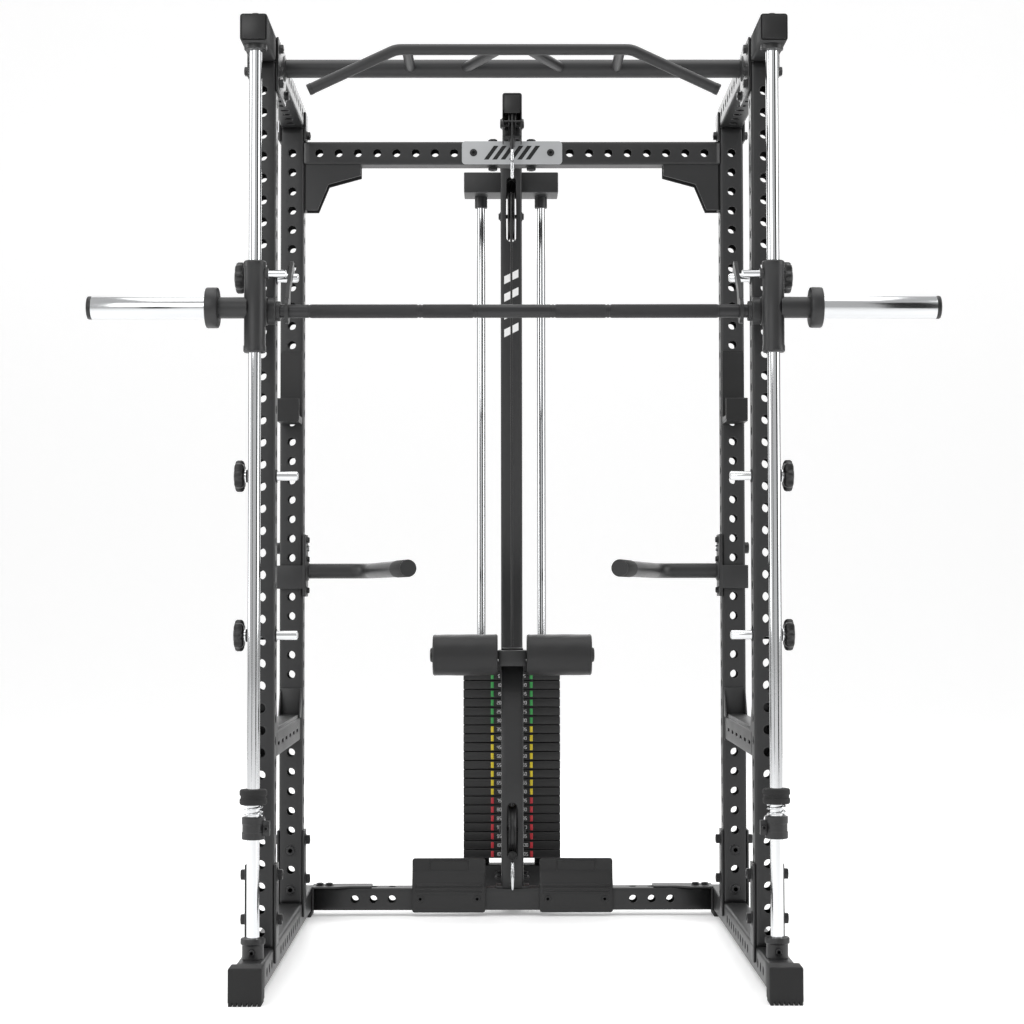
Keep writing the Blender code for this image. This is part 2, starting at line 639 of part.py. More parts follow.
def guided_bar():
    """Bar between the carriages, with its end hubs and the two catch hooks."""
    end = HALF_WIDTH + BEARING_WIDTH / 2
    line = [(BAR_Y, BAR_Z)]
    bar = rods(line, "X", BAR_DIAMETER / 2, -end, end)
    add = []
    for side, _ in SIDES:
        hub = sorted((side * (HALF_WIDTH - BEARING_WIDTH / 2 - 0.001),
                      side * (HALF_WIDTH - BEARING_WIDTH / 2 - 0.001 - HUB_WIDTH)))
        add.append(rods(line, "X", HUB_DIAMETER / 2, hub[0], hub[1], 16))
        hook = side * (HALF_WIDTH - HOOK_X)
        add.append(extrusion([hook_outline()], "X", hook - HOOK_THICK / 2, hook + HOOK_THICK / 2))
    node("guided_bar", bar, POWDER, add=add, pivot=(0, BAR_Y, BAR_Z))


def star(middle, radius, lobes=6):
    """Outline of a star knob, two points a lobe."""
    points = []
    for step in range(lobes * 2):
        reach = radius if step % 2 == 0 else radius * 0.80
        angle = math.pi * step / lobes
        points.append((middle[0] + reach * math.cos(angle), middle[1] + reach * math.sin(angle)))
    return points


def catch_pin(side, name, level, z):
    """Chrome pin through a front upright's side holes, with its star knob outside."""
    def out(distance):
        return side * distance

    inner = out(INNER_X - CATCH_PIN_INSIDE)
    face = OUTER_X + KNOB_STAND_OFF
    pin = rods([(FRONT_Y, z)], "X", CATCH_PIN_DIAMETER / 2, *sorted((inner, out(face + SINK))), 12)
    near = OUTER_X + 0.002
    hub = rods([(FRONT_Y, z)], "X", KNOB_DIAMETER * 0.23, *sorted((out(near), out(face + SINK))), 8)
    outline = star((FRONT_Y, z), KNOB_DIAMETER / 2)
    knob = extrusion([outline], "X", *sorted((out(face), out(face + KNOB_THICK))))
    pivot = (inner, FRONT_Y, z)
    node("_".join(("catch_pin", level, name)), pin, CHROME, add=[hub, knob], pivot=pivot)


# ------------------------------------------------------------------ pull-up bar, holders and handles
def pull_up_bar():
    """Crossbar between the front uprights with a front multi-grip bar and four grips."""
    end = INNER_X - CLEARANCE
    y = FRONT_Y + PULL_UP_BEHIND
    front = FRONT_Y - GRIP_FORWARD
    solid = rods([(y, PULL_UP_Z)], "X", PULL_UP_DIAMETER / 2, -end + SINK, end - SINK, 12)
    ends_z = PULL_UP_Z - GRIP_END_DROP
    route = [(-GRIP_HALF_WIDTH, front, ends_z), (-GRIP_HALF_STRAIGHT, front, PULL_UP_Z),
             (GRIP_HALF_STRAIGHT, front, PULL_UP_Z), (GRIP_HALF_WIDTH, front, ends_z)]
    add = [pipe(bent(route, 0.040, 2), GRIP_DIAMETER / 2, detail=2)]
    for side, _ in SIDES:
        for start, finish_x in ((0.240, 0.240), (0.035, 0.115)):
            grip = [(side * start, front, PULL_UP_Z), (side * finish_x, y, PULL_UP_Z)]
            add.append(pipe(grip, GRIP_DIAMETER / 2 - SINK, detail=2))
        ends = sorted((side * (end - PLATE), side * end))
        add.append(box(ends, (FRONT_Y - HALF_TUBE, y + PULL_UP_DIAMETER / 2 + 0.020),
                       (BEAM_Z - 0.067, BEAM_TOP - 0.004)))
    node("pull_up_bar", solid, POWDER, add=add)


def bar_holder(side, name):
    """J-shaped holder on a rear upright, with two pegs in the adjustment holes."""
    middle = side * HALF_WIDTH
    face = REAR_Y - HALF_TUBE - CLEARANCE
    shelf = CUP_SHELF_Z
    back = PLATE * 1.6
    lip = face - back - CUP_SEAT
    outline = [(face, shelf), (face, shelf + CUP_TALL), (face - back, shelf + CUP_TALL),
               (face - back, shelf + 0.016), (lip, shelf + 0.016), (lip, shelf + CUP_LIP),
               (lip - 0.010, shelf + CUP_LIP), (lip - 0.010, shelf)]
    solid = extrusion([outline], "X", middle - CUP_WIDTH / 2, middle + CUP_WIDTH / 2)
    heights = [FIRST_HOLE_Z + HOLE_PITCH * k for k in (25, 27)]
    pegs = rods([(middle, z) for z in heights], "Y", PEG_DIAMETER / 2, face - SINK, face + 0.030, 12)
    node("bar_holder_" + name, solid, PLASTIC, add=[pegs])


def dip_handle(side, name):
    """Dip handle with the plate and pin that hold it on a rear upright."""
    face = INNER_X - CLEARANCE
    root = [(side * (face - PLATE), REAR_Y - 0.010, DIP_Z), (side * DIP_ELBOW_X, REAR_Y - 0.010, DIP_Z),
            (side * DIP_END_X, REAR_Y - DIP_REACH, DIP_Z)]
    solid = pipe(bent(root, 0.060, 4), DIP_DIAMETER / 2, detail=3)
    plate = box((side * face, side * (face - 0.008)), (REAR_Y - 0.045, REAR_Y + 0.032),
                (DIP_Z - 0.066, DIP_Z + 0.094))
    front = REAR_Y - HALF_TUBE - CLEARANCE
    block = box((side * (face - 0.008), side * (OUTER_X + 0.006)), (front - 0.014, front),
                (DIP_Z - 0.046, DIP_Z + 0.014))
    head = OUTER_X + CLEARANCE
    shank = sorted((side * (face - SINK), side * (head + SINK)))
    pin = rods([(REAR_Y, DIP_PIN_Z)], "X", PEG_DIAMETER / 2, shank[0], shank[1], 12)
    knob = rods([(REAR_Y, DIP_PIN_Z)], "X", 0.015, *sorted((side * head, side * (head + 0.012))), 16)
    node("dip_handle_" + name, solid, POWDER, add=[plate, block, pin, knob])


def safety_arm(side, name):
    """Safety beam between a front and a rear upright, with end brackets, pegs and top liner."""
    middle = side * HALF_WIDTH
    front = FRONT_Y + HALF_TUBE + CLEARANCE
    rear = REAR_Y - HALF_TUBE - CLEARANCE
    centre = (middle, SAFETY_Z + SAFETY_HEIGHT / 2)
    solid = square_tube("Y", centre, front + SINK, rear - SINK, SAFETY_WIDTH, SAFETY_HEIGHT)
    top = SAFETY_Z + SAFETY_HEIGHT
    add = [box((middle - 0.023, middle + 0.023), (front + PLATE * 2, rear - PLATE * 2),
               (top - SINK, top + LINER))]
    for face, inward in ((front, 1), (rear, -1)):
        plate = sorted((face, face + inward * PLATE * 1.2))
        bottom = SAFETY_Z - 0.003
        add.append(box((middle - 0.027, middle + 0.027), plate, (bottom, bottom + SAFETY_BRACKET)))
        reach = sorted((face + inward * SINK, face - inward * 0.030))
        add.append(rods([(middle, SAFETY_PEG_Z)], "Y", PEG_DIAMETER / 2, reach[0], reach[1], 12))
    slots = []
    for share in (0.2, 0.4, 0.6, 0.8):
        y = front + (rear - front) * share
        slots.append(box((middle - side * 0.015, middle - side * 0.040), (y - 0.020, y + 0.020),
                         (centre[1] - 0.004, centre[1] + 0.004)))
    node("safety_arm_" + name, solid, POWDER, add=add, cut=slots)


# ------------------------------------------------------------------ weight tower
def pulley(name, radius, centre):
    """Grooved pulley with a bore around its axle, turning about X."""
    half = PULLEY_WIDTH / 2
    bore = AXLE_DIAMETER / 2 + SLIDING_GAP
    bed = CABLE_DIAMETER / 2 + SLIDING_GAP
    profile = [(bore, -half), (radius, -half), (radius, -half * 0.85), (radius - GROOVE, -bed),
               (radius - GROOVE, bed), (radius, half * 0.85), (radius, half), (bore, half)]
    node(name, turned(profile, "X", centre), PLASTIC, pivot=centre)


def axle(y, z, half_length):
    """Axle bolt along X."""
    return rods([(y, z)], "X", AXLE_DIAMETER / 2, -half_length, half_length, 12)


def tower_base():
    """Base tube behind the crossmember, with the stack's seat and the tower's foot."""
    start = RUNNER_REAR + CLEARANCE
    end = STACK_Y + 0.102
    tube = square_tube("Y", (0, BASE_MIDDLE), start, end)
    foot = box((-SHOE_WIDTH / 2, SHOE_WIDTH / 2), (end - 0.052, end + 0.012), (0, BASE_Z + SINK))
    bead = box((-HALF_TUBE + SINK, HALF_TUBE - SINK), (end - SINK, end + 0.012), (BASE_Z, BASE_TOP))
    seat = box((-STACK_ROD_X - 0.044, STACK_ROD_X + 0.044), (STACK_Y - 0.035, STACK_Y + 0.035),
               (BASE_TOP - SINK, SEAT_TOP))
    rod_hole = STACK_ROD_DIAMETER / 2 + CLEARANCE * 2
    places = [(side * STACK_ROD_X, STACK_Y) for side, _ in SIDES]
    bores = rods(places, "Z", rod_hole, SEAT_TOP - 0.014, SEAT_TOP + SINK)
    drains = box((-0.010, 0.010), (start + 0.040, start + 0.080), (BASE_Z - SINK, BASE_Z + TUBE_WALL + SINK))
    node("tower_base", tube, POWDER, add=[foot, bead, seat], cut=[bores, drains])


def mast():
    """Upright tube of the tower, slotted for its pulley, with the pulley's axle."""
    tube = square_tube("Z", (0, MAST_Y), UPRIGHT_FOOT, BOOM_Z - CLEARANCE)
    half = PULLEY_SLOT / 2
    slot = box((-half, half), (MAST_Y - TUBE, MAST_Y + TUBE),
               (MAST_PULLEY_Z - MAST_PULLEY_RADIUS - 0.008, MAST_PULLEY_Z + MAST_PULLEY_RADIUS + 0.040))
    joined(tube, [slot], "DIFFERENCE")
    node("mast", tube, POWDER, add=[axle(MAST_Y, MAST_PULLEY_Z, HALF_TUBE + 0.006)])


def boom():
    """Boom from the mast over the crossbeam, with fork plates and the two pulley axles."""
    middle_z = BOOM_Z + BOOM_HEIGHT / 2
    tube = square_tube("Y", (0, middle_z), BOOM_FRONT_Y, BOOM_REAR_Y, BOOM_WIDTH, BOOM_HEIGHT)
    inner = BOOM_WIDTH / 2 - TUBE_WALL - CLEARANCE
    low = (BOOM_Z - SINK, BOOM_Z + TUBE_WALL + SINK * 2)
    cut = [box((-inner, inner), (BOOM_FRONT_Y - SINK, FRONT_PULLEY_Y + BOOM_PULLEY_RADIUS + 0.006), low),
           box((-inner, inner), (REAR_PULLEY_Y - BOOM_REAR_RADIUS - 0.004,
                                 REAR_PULLEY_Y + BOOM_REAR_RADIUS + 0.012), low)]
    joined(tube, cut, "DIFFERENCE")
    crossbeam_face = REAR_Y - HALF_TUBE
    add = []
    for side, _ in SIDES:
        cheek = sorted((side * inner, side * (inner + TUBE_WALL)))
        add.append(box(cheek, (BOOM_FRONT_Y, crossbeam_face - NAME_PLATE_THICK - 0.003),
                       (BOOM_Z - 0.050, BOOM_Z + HALF_TUBE)))
        add.append(axle(FRONT_PULLEY_Y, BOOM_PULLEY_Z, BOOM_WIDTH / 2 + 0.006) if side < 0 else
                   axle(REAR_PULLEY_Y, REAR_PULLEY_Z, BOOM_WIDTH / 2 + 0.006))
    add.append(box((-inner, inner), (FRONT_PULLEY_Y + BOOM_PULLEY_RADIUS + 0.004, REAR_Y + HALF_TUBE - 0.004),
                   (CROSSBEAM_Z + HALF_TUBE + CLEARANCE, BOOM_Z + SINK)))
    node("boom", tube, POWDER, add=add)


def stack_head():
    """Bracket behind the mast that holds the tops of the stack's guide rods."""
    front = MAST_Y + HALF_TUBE + CLEARANCE
    rear = STACK_Y + 0.030
    wide = STACK_ROD_X + 0.048
    slot = PULLEY_SLOT / 2 + 0.002
    low = BOOM_Z - 0.069
    high = BOOM_Z - 0.011
    plan = [(-wide, front), (-slot, front), (-slot, rear - 0.015), (slot, rear - 0.015), (slot, front),
            (wide, front), (wide, rear), (-wide, rear)]
    block = extrusion([plan], "Z", low, high)
    wall = PLATE * 1.2
    pockets = []
    cups = []
    for side, _ in SIDES:
        pockets.append(box((side * (slot + wall), side * (wide - wall)), (front + wall, rear - wall),
                           (low - SINK, high - wall)))
        cups.append(rods([(side * STACK_ROD_X, STACK_Y)], "Z", 0.018, low - 0.032, high - wall + SINK, 12))
    joined(block, pockets, "DIFFERENCE")
    joined(block, cups)
    places = [(side * STACK_ROD_X, STACK_Y) for side, _ in SIDES]
    hole = STACK_ROD_DIAMETER / 2 + CLEARANCE * 2
    bores = rods(places, "Z", hole, low - 0.033, high - wall - 0.004)
    node("stack_head", block, POWDER, cut=[bores])


def stack_rod(side, name):
    """Chrome guide rod of the weight stack."""
    place = [(side * STACK_ROD_X, STACK_Y)]
    solid = rods(place, "Z", STACK_ROD_DIAMETER / 2, SEAT_TOP - 0.014 + CLEARANCE, BOOM_Z - 0.032)
    node("stack_rod_" + name, solid, CHROME)


def plate_block(low, count):
    """A part of the stack's weight plates as one block."""
    deep = STACK_DEPTH / 2
    return box((-STACK_WIDTH / 2, STACK_WIDTH / 2), (STACK_Y - deep, STACK_Y + deep),
               (low, low + count * PLATE_PITCH))


def weight_plates():
    """Resting and lifted parts of the stack, bored for the rods, the stem and the cables."""
    rod_places = [(side * STACK_ROD_X, STACK_Y) for side, _ in SIDES]
    rod_hole = STACK_ROD_DIAMETER / 2 + SLIDING_GAP
    split = STACK_Z + RESTING_PLATES * PLATE_PITCH
    top = split + CLEARANCE + LIFTED_PLATES * PLATE_PITCH
    low_cable = (0, MAST_Y + MAST_PULLEY_RADIUS - CABLE_SEAT)

    resting = plate_block(STACK_Z, RESTING_PLATES)
    pads = rods(rod_places, "Z", 0.022, SEAT_TOP + CLEARANCE, STACK_Z + SINK)
    cut = [rods(rod_places, "Z", rod_hole, SEAT_TOP - SINK, split + SINK, 12),
           rods([(0, STACK_Y)], "Z", STEM_DIAMETER / 2 + 0.0012, STACK_Z - SINK, split + SINK, 12),
           rods([low_cable], "Z", CABLE_BORE / 2, STACK_Z - SINK, split + SINK, 8)]
    node("resting_plates", resting, POWDER, add=[pads], cut=cut)

    lifted = plate_block(split + CLEARANCE, LIFTED_PLATES)
    inset = STACK_DEPTH / 2 - 0.004
    head = box((-STACK_WIDTH / 2 + 0.004, STACK_WIDTH / 2 - 0.004), (STACK_Y - inset, STACK_Y + inset),
               (top - SINK, top + 0.030))
    stem = rods([(0, STACK_Y)], "Z", STEM_DIAMETER / 2, STACK_Z + 0.013, top + 0.055, 12)
    cut = [rods(rod_places, "Z", rod_hole, split - SINK, top + 0.031, 12),
           rods([(0, STACK_Y)], "Z", CABLE_BORE / 2, STACK_Z, top + 0.056, 8),
           rods([low_cable], "Z", CABLE_BORE / 2, split - SINK, top + 0.031, 8)]
    node("lifted_plates", lifted, POWDER, add=[head, stem], cut=cut, pivot=(0, STACK_Y, split))


def front_post():
    """Short post on the crossmember, slotted for the low pulley, with the pulley's axle."""
    tube = square_tube("Z", (0, CROSS_Y), UPRIGHT_FOOT, POST_TOP - PLATE)
    half = PULLEY_SLOT / 2
    slot = box((-half, half), (CROSS_Y - TUBE, CROSS_Y + TUBE),
               (LOW_PULLEY_Z - LOW_PULLEY_RADIUS - 0.012, LOW_PULLEY_Z + LOW_PULLEY_RADIUS + 0.008))
    cap = box((-HALF_TUBE + SINK, HALF_TUBE - SINK), (CROSS_Y - HALF_TUBE + SINK, CROSS_Y + HALF_TUBE - SINK),
              (POST_TOP - PLATE - SINK, POST_TOP))
    joined(tube, [slot], "DIFFERENCE")
    node("front_post", tube, POWDER, add=[cap, axle(CROSS_Y, LOW_PULLEY_Z, HALF_TUBE + 0.006)])


def roller_bracket():
    """Collar around the post, with the thigh rollers' axle and its end caps."""
    fit = HALF_TUBE + CLEARANCE
    wide = ROLLER_START - 0.002
    axle_y = CROSS_Y - ROLLER_FORWARD
    collar = box((-wide, wide), (axle_y - 0.022, CROSS_Y + fit + PLATE), (ROLLER_Z - 0.030, ROLLER_Z + 0.012))
    hole = box((-fit, fit), (CROSS_Y - fit, CROSS_Y + fit), (ROLLER_Z - 0.031, ROLLER_Z + 0.013))
    end = ROLLER_START + ROLLER_LENGTH
    add = []
    for side, _ in SIDES:
        shaft = sorted((side * (wide - SINK), side * (end + 0.001)))
        add.append(rods([(axle_y, ROLLER_Z)], "X", ROLLER_AXLE / 2, shaft[0], shaft[1]))
        nub = sorted((side * (end + 0.0005), side * (end + 0.008)))
        add.append(rods([(axle_y, ROLLER_Z)], "X", 0.020, nub[0], nub[1]))
    joined(collar, [hole], "DIFFERENCE")
    node("roller_bracket", collar, POWDER, add=add)


def thigh_roller(side, name):
    """Foam roller on the axle."""
    bore = ROLLER_AXLE / 2 + SLIDING_GAP
    outer = ROLLER_DIAMETER / 2
    soft = 0.008
    half = ROLLER_LENGTH / 2
    profile = [(bore, -half), (outer - soft, -half), (outer, soft - half), (outer, half - soft),
               (outer - soft, half), (bore, half)]
    centre = (side * (ROLLER_START + half), CROSS_Y - ROLLER_FORWARD, ROLLER_Z)
    node("thigh_roller_" + name, turned(profile, "X", centre), FOAM, pivot=centre)


def foot_plate(side, name):
    """Foot plate screwed to the front of the crossmember, curved back over it at the top."""
    back = CROSS_Y - HALF_TUBE - CLEARANCE
    thick = 0.012
    low = 0.011
    front = back - thick
    outline = [(back, low), (back, 0.078), (back + 0.020, 0.112), (back + 0.022, FOOT_PLATE_TOP),
               (front + 0.020, FOOT_PLATE_TOP), (front + 0.017, 0.116), (front - 0.003, 0.080), (front, low)]
    ends = sorted((side * FOOT_PLATE_START, side * (FOOT_PLATE_START + FOOT_PLATE_WIDTH)))
    node("foot_plate_" + name, extrusion([outline], "X", ends[0], ends[1]), PLASTIC)


# ------------------------------------------------------------------ cables and their hooks
def carabiner(name, y, top):
    """Closed snap hook hanging in the middle plane."""
    half = (CARABINER_WIDTH - CARABINER_WIRE) / 2
    straight = CARABINER_LENGTH - CARABINER_WIRE - 2 * half
    upper = arc((y, top - CARABINER_WIRE / 2 - half), half, 0, 180, 6)
    lower = arc((y, top - CARABINER_WIRE / 2 - half - straight), half, 180, 360, 6)
    route = [(0, along, z) for along, z in upper + lower]
    node(name, pipe(route, CARABINER_WIRE / 2, cyclic=True, detail=1), CHROME, pivot=(0, y, top))


def wrapped(points):
    """A cable along (y, z) points in the middle plane."""
    return pipe([(0, y, z) for y, z in points], CABLE_DIAMETER / 2, detail=1)


def lat_cable():
    """From the lat hook over both boom pulleys and down into the stack's stem."""
    run = BOOM_PULLEY_RADIUS - CABLE_SEAT
    inside = STACK_Z + (RESTING_PLATES + LIFTED_PLATES) * PLATE_PITCH - 0.040
    points = arc((FRONT_PULLEY_Y, BOOM_PULLEY_Z), run, 180, 90, 8)
    points += arc((REAR_PULLEY_Y, REAR_PULLEY_Z), BOOM_REAR_RADIUS - CABLE_SEAT, 90, 0, 8)
    points.append((STACK_Y, inside))
    solid = wrapped([(FRONT_PULLEY_Y - run, LAT_HOOK_TOP + 0.0008)] + points)
    crimp_y = FRONT_PULLEY_Y - run
    crimp = rods([(0, crimp_y)], "Z", 0.006, LAT_HOOK_TOP + CLEARANCE, LAT_HOOK_TOP + 0.026, 12)
    node("lat_cable", solid, CABLE, add=[crimp])


def low_cable():
    """From the low hook under the low pulley, up over the mast pulley and down into the stack."""
    low_run = LOW_PULLEY_RADIUS - CABLE_SEAT
    mast_run = MAST_PULLEY_RADIUS - CABLE_SEAT
    across = MAST_Y - CROSS_Y
    up = MAST_PULLEY_Z - LOW_PULLEY_Z
    distance = math.hypot(across, up)
    lean = math.degrees(math.atan2(up, across))
    # Crossed tangent: the cable passes behind the low pulley and in front of the mast pulley.
    swing = math.degrees(math.acos((low_run + mast_run) / distance))
    leave = lean - swing
    exit_z = LOW_PULLEY_Z - low_run
    points = arc((CROSS_Y, LOW_PULLEY_Z), low_run, -90, leave, 8)
    points += arc((MAST_Y, MAST_PULLEY_Z), mast_run, 180 + leave, 0, 12)
    inside = STACK_Z + (RESTING_PLATES + LIFTED_PLATES) * PLATE_PITCH - 0.040
    points.append((MAST_Y + mast_run, inside))
    solid = wrapped([(LOW_STOP_Y, exit_z)] + points)
    ball = turned([(0.0001, -0.012), (0.008, -0.009), (0.012, 0.0), (0.008, 0.009), (0.0001, 0.012)],
                  "X", (0, LOW_STOP_Y, exit_z), 12)
    node("low_cable", solid, CABLE, add=[ball])


# ------------------------------------------------------------------ the whole object
for side_sign, side_name in SIDES:
    runner(side_sign, side_name)
    front_shoe(side_sign, side_name)
    rear_foot(side_sign, side_name)
    for end_y, end_name in ENDS:
        upright(side_sign, side_name, end_y, end_name)
    side_beam(side_sign, side_name)
    guide_rod(side_sign, side_name)
    bumper(side_sign, side_name)
    carriage(side_sign, side_name)
    for pin_level, pin_z in CATCH_PIN_Z.items():
        catch_pin(side_sign, side_name, pin_level, pin_z)
    bar_holder(side_sign, side_name)
    dip_handle(side_sign, side_name)
    safety_arm(side_sign, side_name)
    stack_rod(side_sign, side_name)
    thigh_roller(side_sign, side_name)
    foot_plate(side_sign, side_name)
floor_crossmember()
rear_top_crossbeam()
name_plate()
guided_bar()
pull_up_bar()
tower_base()
mast()
boom()
stack_head()
weight_plates()
front_post()
roller_bracket()
pulley("boom_front_pulley", BOOM_PULLEY_RADIUS, (0, FRONT_PULLEY_Y, BOOM_PULLEY_Z))
pulley("boom_rear_pulley", BOOM_REAR_RADIUS, (0, REAR_PULLEY_Y, REAR_PULLEY_Z))
pulley("mast_pulley", MAST_PULLEY_RADIUS, (0, MAST_Y, MAST_PULLEY_Z))
pulley("low_pulley", LOW_PULLEY_RADIUS, (0, CROSS_Y, LOW_PULLEY_Z))
carabiner("lat_hook", FRONT_PULLEY_Y - BOOM_PULLEY_RADIUS + CABLE_SEAT, LAT_HOOK_TOP)
carabiner("low_hook", LOW_STOP_Y - 0.004, LOW_PULLEY_Z - LOW_PULLEY_RADIUS - 0.013)
lat_cable()
low_cable()
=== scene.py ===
"""Studio scene of a half rack with a guided bar and a lat and low-row weight tower.

Metres, +Z up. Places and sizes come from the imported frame's boxes. Every visible piece is a surface
worked out on a grid of two parameters, or a profile carried along a path, and is dressed in a
node-based finish.
"""
from __future__ import annotations

import json
import logging
import math
from dataclasses import dataclass, field
from enum import Enum
from typing import Callable, Iterable, Sequence

import bmesh
import bpy
import numpy as np
from mathutils import Euler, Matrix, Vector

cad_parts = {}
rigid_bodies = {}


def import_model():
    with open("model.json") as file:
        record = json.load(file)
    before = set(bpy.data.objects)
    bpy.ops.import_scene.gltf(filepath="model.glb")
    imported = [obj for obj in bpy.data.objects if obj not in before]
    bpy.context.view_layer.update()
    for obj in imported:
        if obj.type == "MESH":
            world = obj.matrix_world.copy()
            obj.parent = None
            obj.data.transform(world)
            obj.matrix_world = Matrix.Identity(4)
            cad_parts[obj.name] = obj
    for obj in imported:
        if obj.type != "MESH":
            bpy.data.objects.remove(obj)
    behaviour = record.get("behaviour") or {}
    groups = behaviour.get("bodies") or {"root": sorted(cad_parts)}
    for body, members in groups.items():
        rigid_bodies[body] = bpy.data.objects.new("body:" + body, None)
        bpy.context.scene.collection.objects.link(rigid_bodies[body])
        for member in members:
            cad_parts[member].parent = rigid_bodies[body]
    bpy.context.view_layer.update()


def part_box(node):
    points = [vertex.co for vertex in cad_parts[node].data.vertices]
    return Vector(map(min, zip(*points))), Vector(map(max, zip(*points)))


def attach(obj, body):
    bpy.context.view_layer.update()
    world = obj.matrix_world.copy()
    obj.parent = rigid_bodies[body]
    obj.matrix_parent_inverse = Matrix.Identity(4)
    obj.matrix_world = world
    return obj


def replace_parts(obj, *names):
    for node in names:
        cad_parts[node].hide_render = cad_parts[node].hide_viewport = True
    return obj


LOG = logging.getLogger("half_rack")
Array = np.ndarray
SIDES: tuple[tuple[int, str], ...] = ((-1, "left"), (1, "right"))
TUBE_WALL = 0.003
TUBE_CORNER = 0.0065
HOLE_RADIUS = 0.0105
HOLE_PITCH = 0.050
SIDE_HOLE_SHIFT = 0.025
SKIN = 0.0006


class Axis(Enum):
    """Row axis that a shape runs along, with the order its local axes take in the row frame."""

    X = (1, 2, 0)
    Y = (2, 0, 1)
    Z = (0, 1, 2)


def placed(local: Array, axis: Axis) -> Array:
    """Turn points given as (first, second, along) into row coordinates.

    Args:
        local: Array of points whose last dimension is (first, second, along).
        axis: Axis that "along" follows; first and second are the next two axes in turn.

    Returns:
        The same points as X, Y, Z.
    """
    row = np.empty_like(local)
    for source, target in enumerate(axis.value):
        row[..., target] = local[..., source]
    return row


# ---------------------------------------------------------------- shader maths
class Value:
    """A shader socket that takes part in Python arithmetic by adding Math nodes."""

    def __init__(self, board: "Board", socket: bpy.types.NodeSocket) -> None:
        """Wrap a socket of a board."""
        self.board = board
        self.socket = socket

    def _math(self, operation: str, *others: "Value | float", swap: bool = False) -> "Value":
        """Add one Math node over this value and others, in reversed order if swap is set."""
        terms: list[Value | float] = [self, *others]
        if swap:
            terms.reverse()
        return self.board.add("ShaderNodeMath", {"operation": operation}, dict(enumerate(terms)))

    def __add__(self, other: "Value | float") -> "Value":
        """Sum."""
        return self._math("ADD", other)

    __radd__ = __add__

    def __sub__(self, other: "Value | float") -> "Value":
        """Difference."""
        return self._math("SUBTRACT", other)

    def __rsub__(self, other: "Value | float") -> "Value":
        """Reversed difference."""
        return self._math("SUBTRACT", other, swap=True)

    def __mul__(self, other: "Value | float") -> "Value":
        """Product."""
        return self._math("MULTIPLY", other)

    __rmul__ = __mul__

    def __pow__(self, other: "Value | float") -> "Value":
        """Power."""
        return self._math("POWER", other)

    def wave(self) -> "Value":
        """Sine."""
        return self._math("SINE")

    def over(self, edge: float, soft: float) -> "Value":
        """A smooth step from 0 below edge to 1 above edge plus soft."""
        settings = {"interpolation_type": "SMOOTHSTEP"}
        return self.board.add("ShaderNodeMapRange", settings, {0: self, 1: edge, 2: edge + soft})


class Board:
    """The node tree of one material."""

    def __init__(self, name: str) -> None:
        """Start an empty Principled material called name."""
        self.material = bpy.data.materials.new(name)
        self.material.use_nodes = True
        self.tree = self.material.node_tree
        self.shader = self.tree.nodes["Principled BSDF"]
        self.place = self.add("ShaderNodeTexCoord", {}, {}, "Object")

    def add(self, kind: str, settings: dict, inputs: dict, output: int | str = 0) -> Value:
        """Add one node.

        Args:
            kind: Node type.
            settings: Node properties, set first; "ramp" holds (position, colour) stops.
            inputs: Socket key to a number, colour or Value.
            output: Key of the output socket.

        Returns:
            The output socket, wrapped.
        """
        made = self.tree.nodes.new(kind)
        for key, setting in settings.items():
            if key == "ramp":
                for stop, (position, colour) in zip(made.color_ramp.elements, setting):
                    stop.position = position
                    stop.color = (*colour, 1.0)
            else:
                setattr(made, key, setting)
        for key, source in inputs.items():
            if isinstance(source, Value):
                self.tree.links.new(source.socket, made.inputs[key])
            elif source is not None:
                made.inputs[key].default_value = source
        return Value(self, made.outputs[output])

    def feed(self, key: str, source: "Value | float | tuple") -> None:
        """Set or link one socket of the Principled shader."""
        if isinstance(source, Value):
            self.tree.links.new(source.socket, self.shader.inputs[key])
        else:
            self.shader.inputs[key].default_value = source

    def noise(self, scale: float, detail: float = 3.0) -> Value:
        """Fractal noise over the object's own coordinates."""
        return self.add("ShaderNodeTexNoise", {}, {"Vector": self.place, "Scale": scale, "Detail": detail})

    def grains(self, scale: float) -> Value:
        """Distance to the nearest of many scattered grains."""
        return self.add("ShaderNodeTexVoronoi", {}, {"Vector": self.place, "Scale": scale})

    def along(self, axis: str) -> Value:
        """One object coordinate."""
        return self.add("ShaderNodeSeparateXYZ", {}, {0: self.place}, axis)

    def mixed(self, share: Value, low: tuple, high: tuple) -> Value:
        """Blend of two colours by share."""
        inputs = {0: share, 6: (*low, 1.0), 7: (*high, 1.0)}
        return self.add("ShaderNodeMix", {"data_type": "RGBA"}, inputs, 2)

    def bump(self, height: Value, distance: float, strength: float = 1.0) -> None:
        """Raise the surface by height times distance."""
        inputs = {"Height": height, "Distance": distance, "Strength": strength}
        self.feed("Normal", self.add("ShaderNodeBump", {}, inputs))


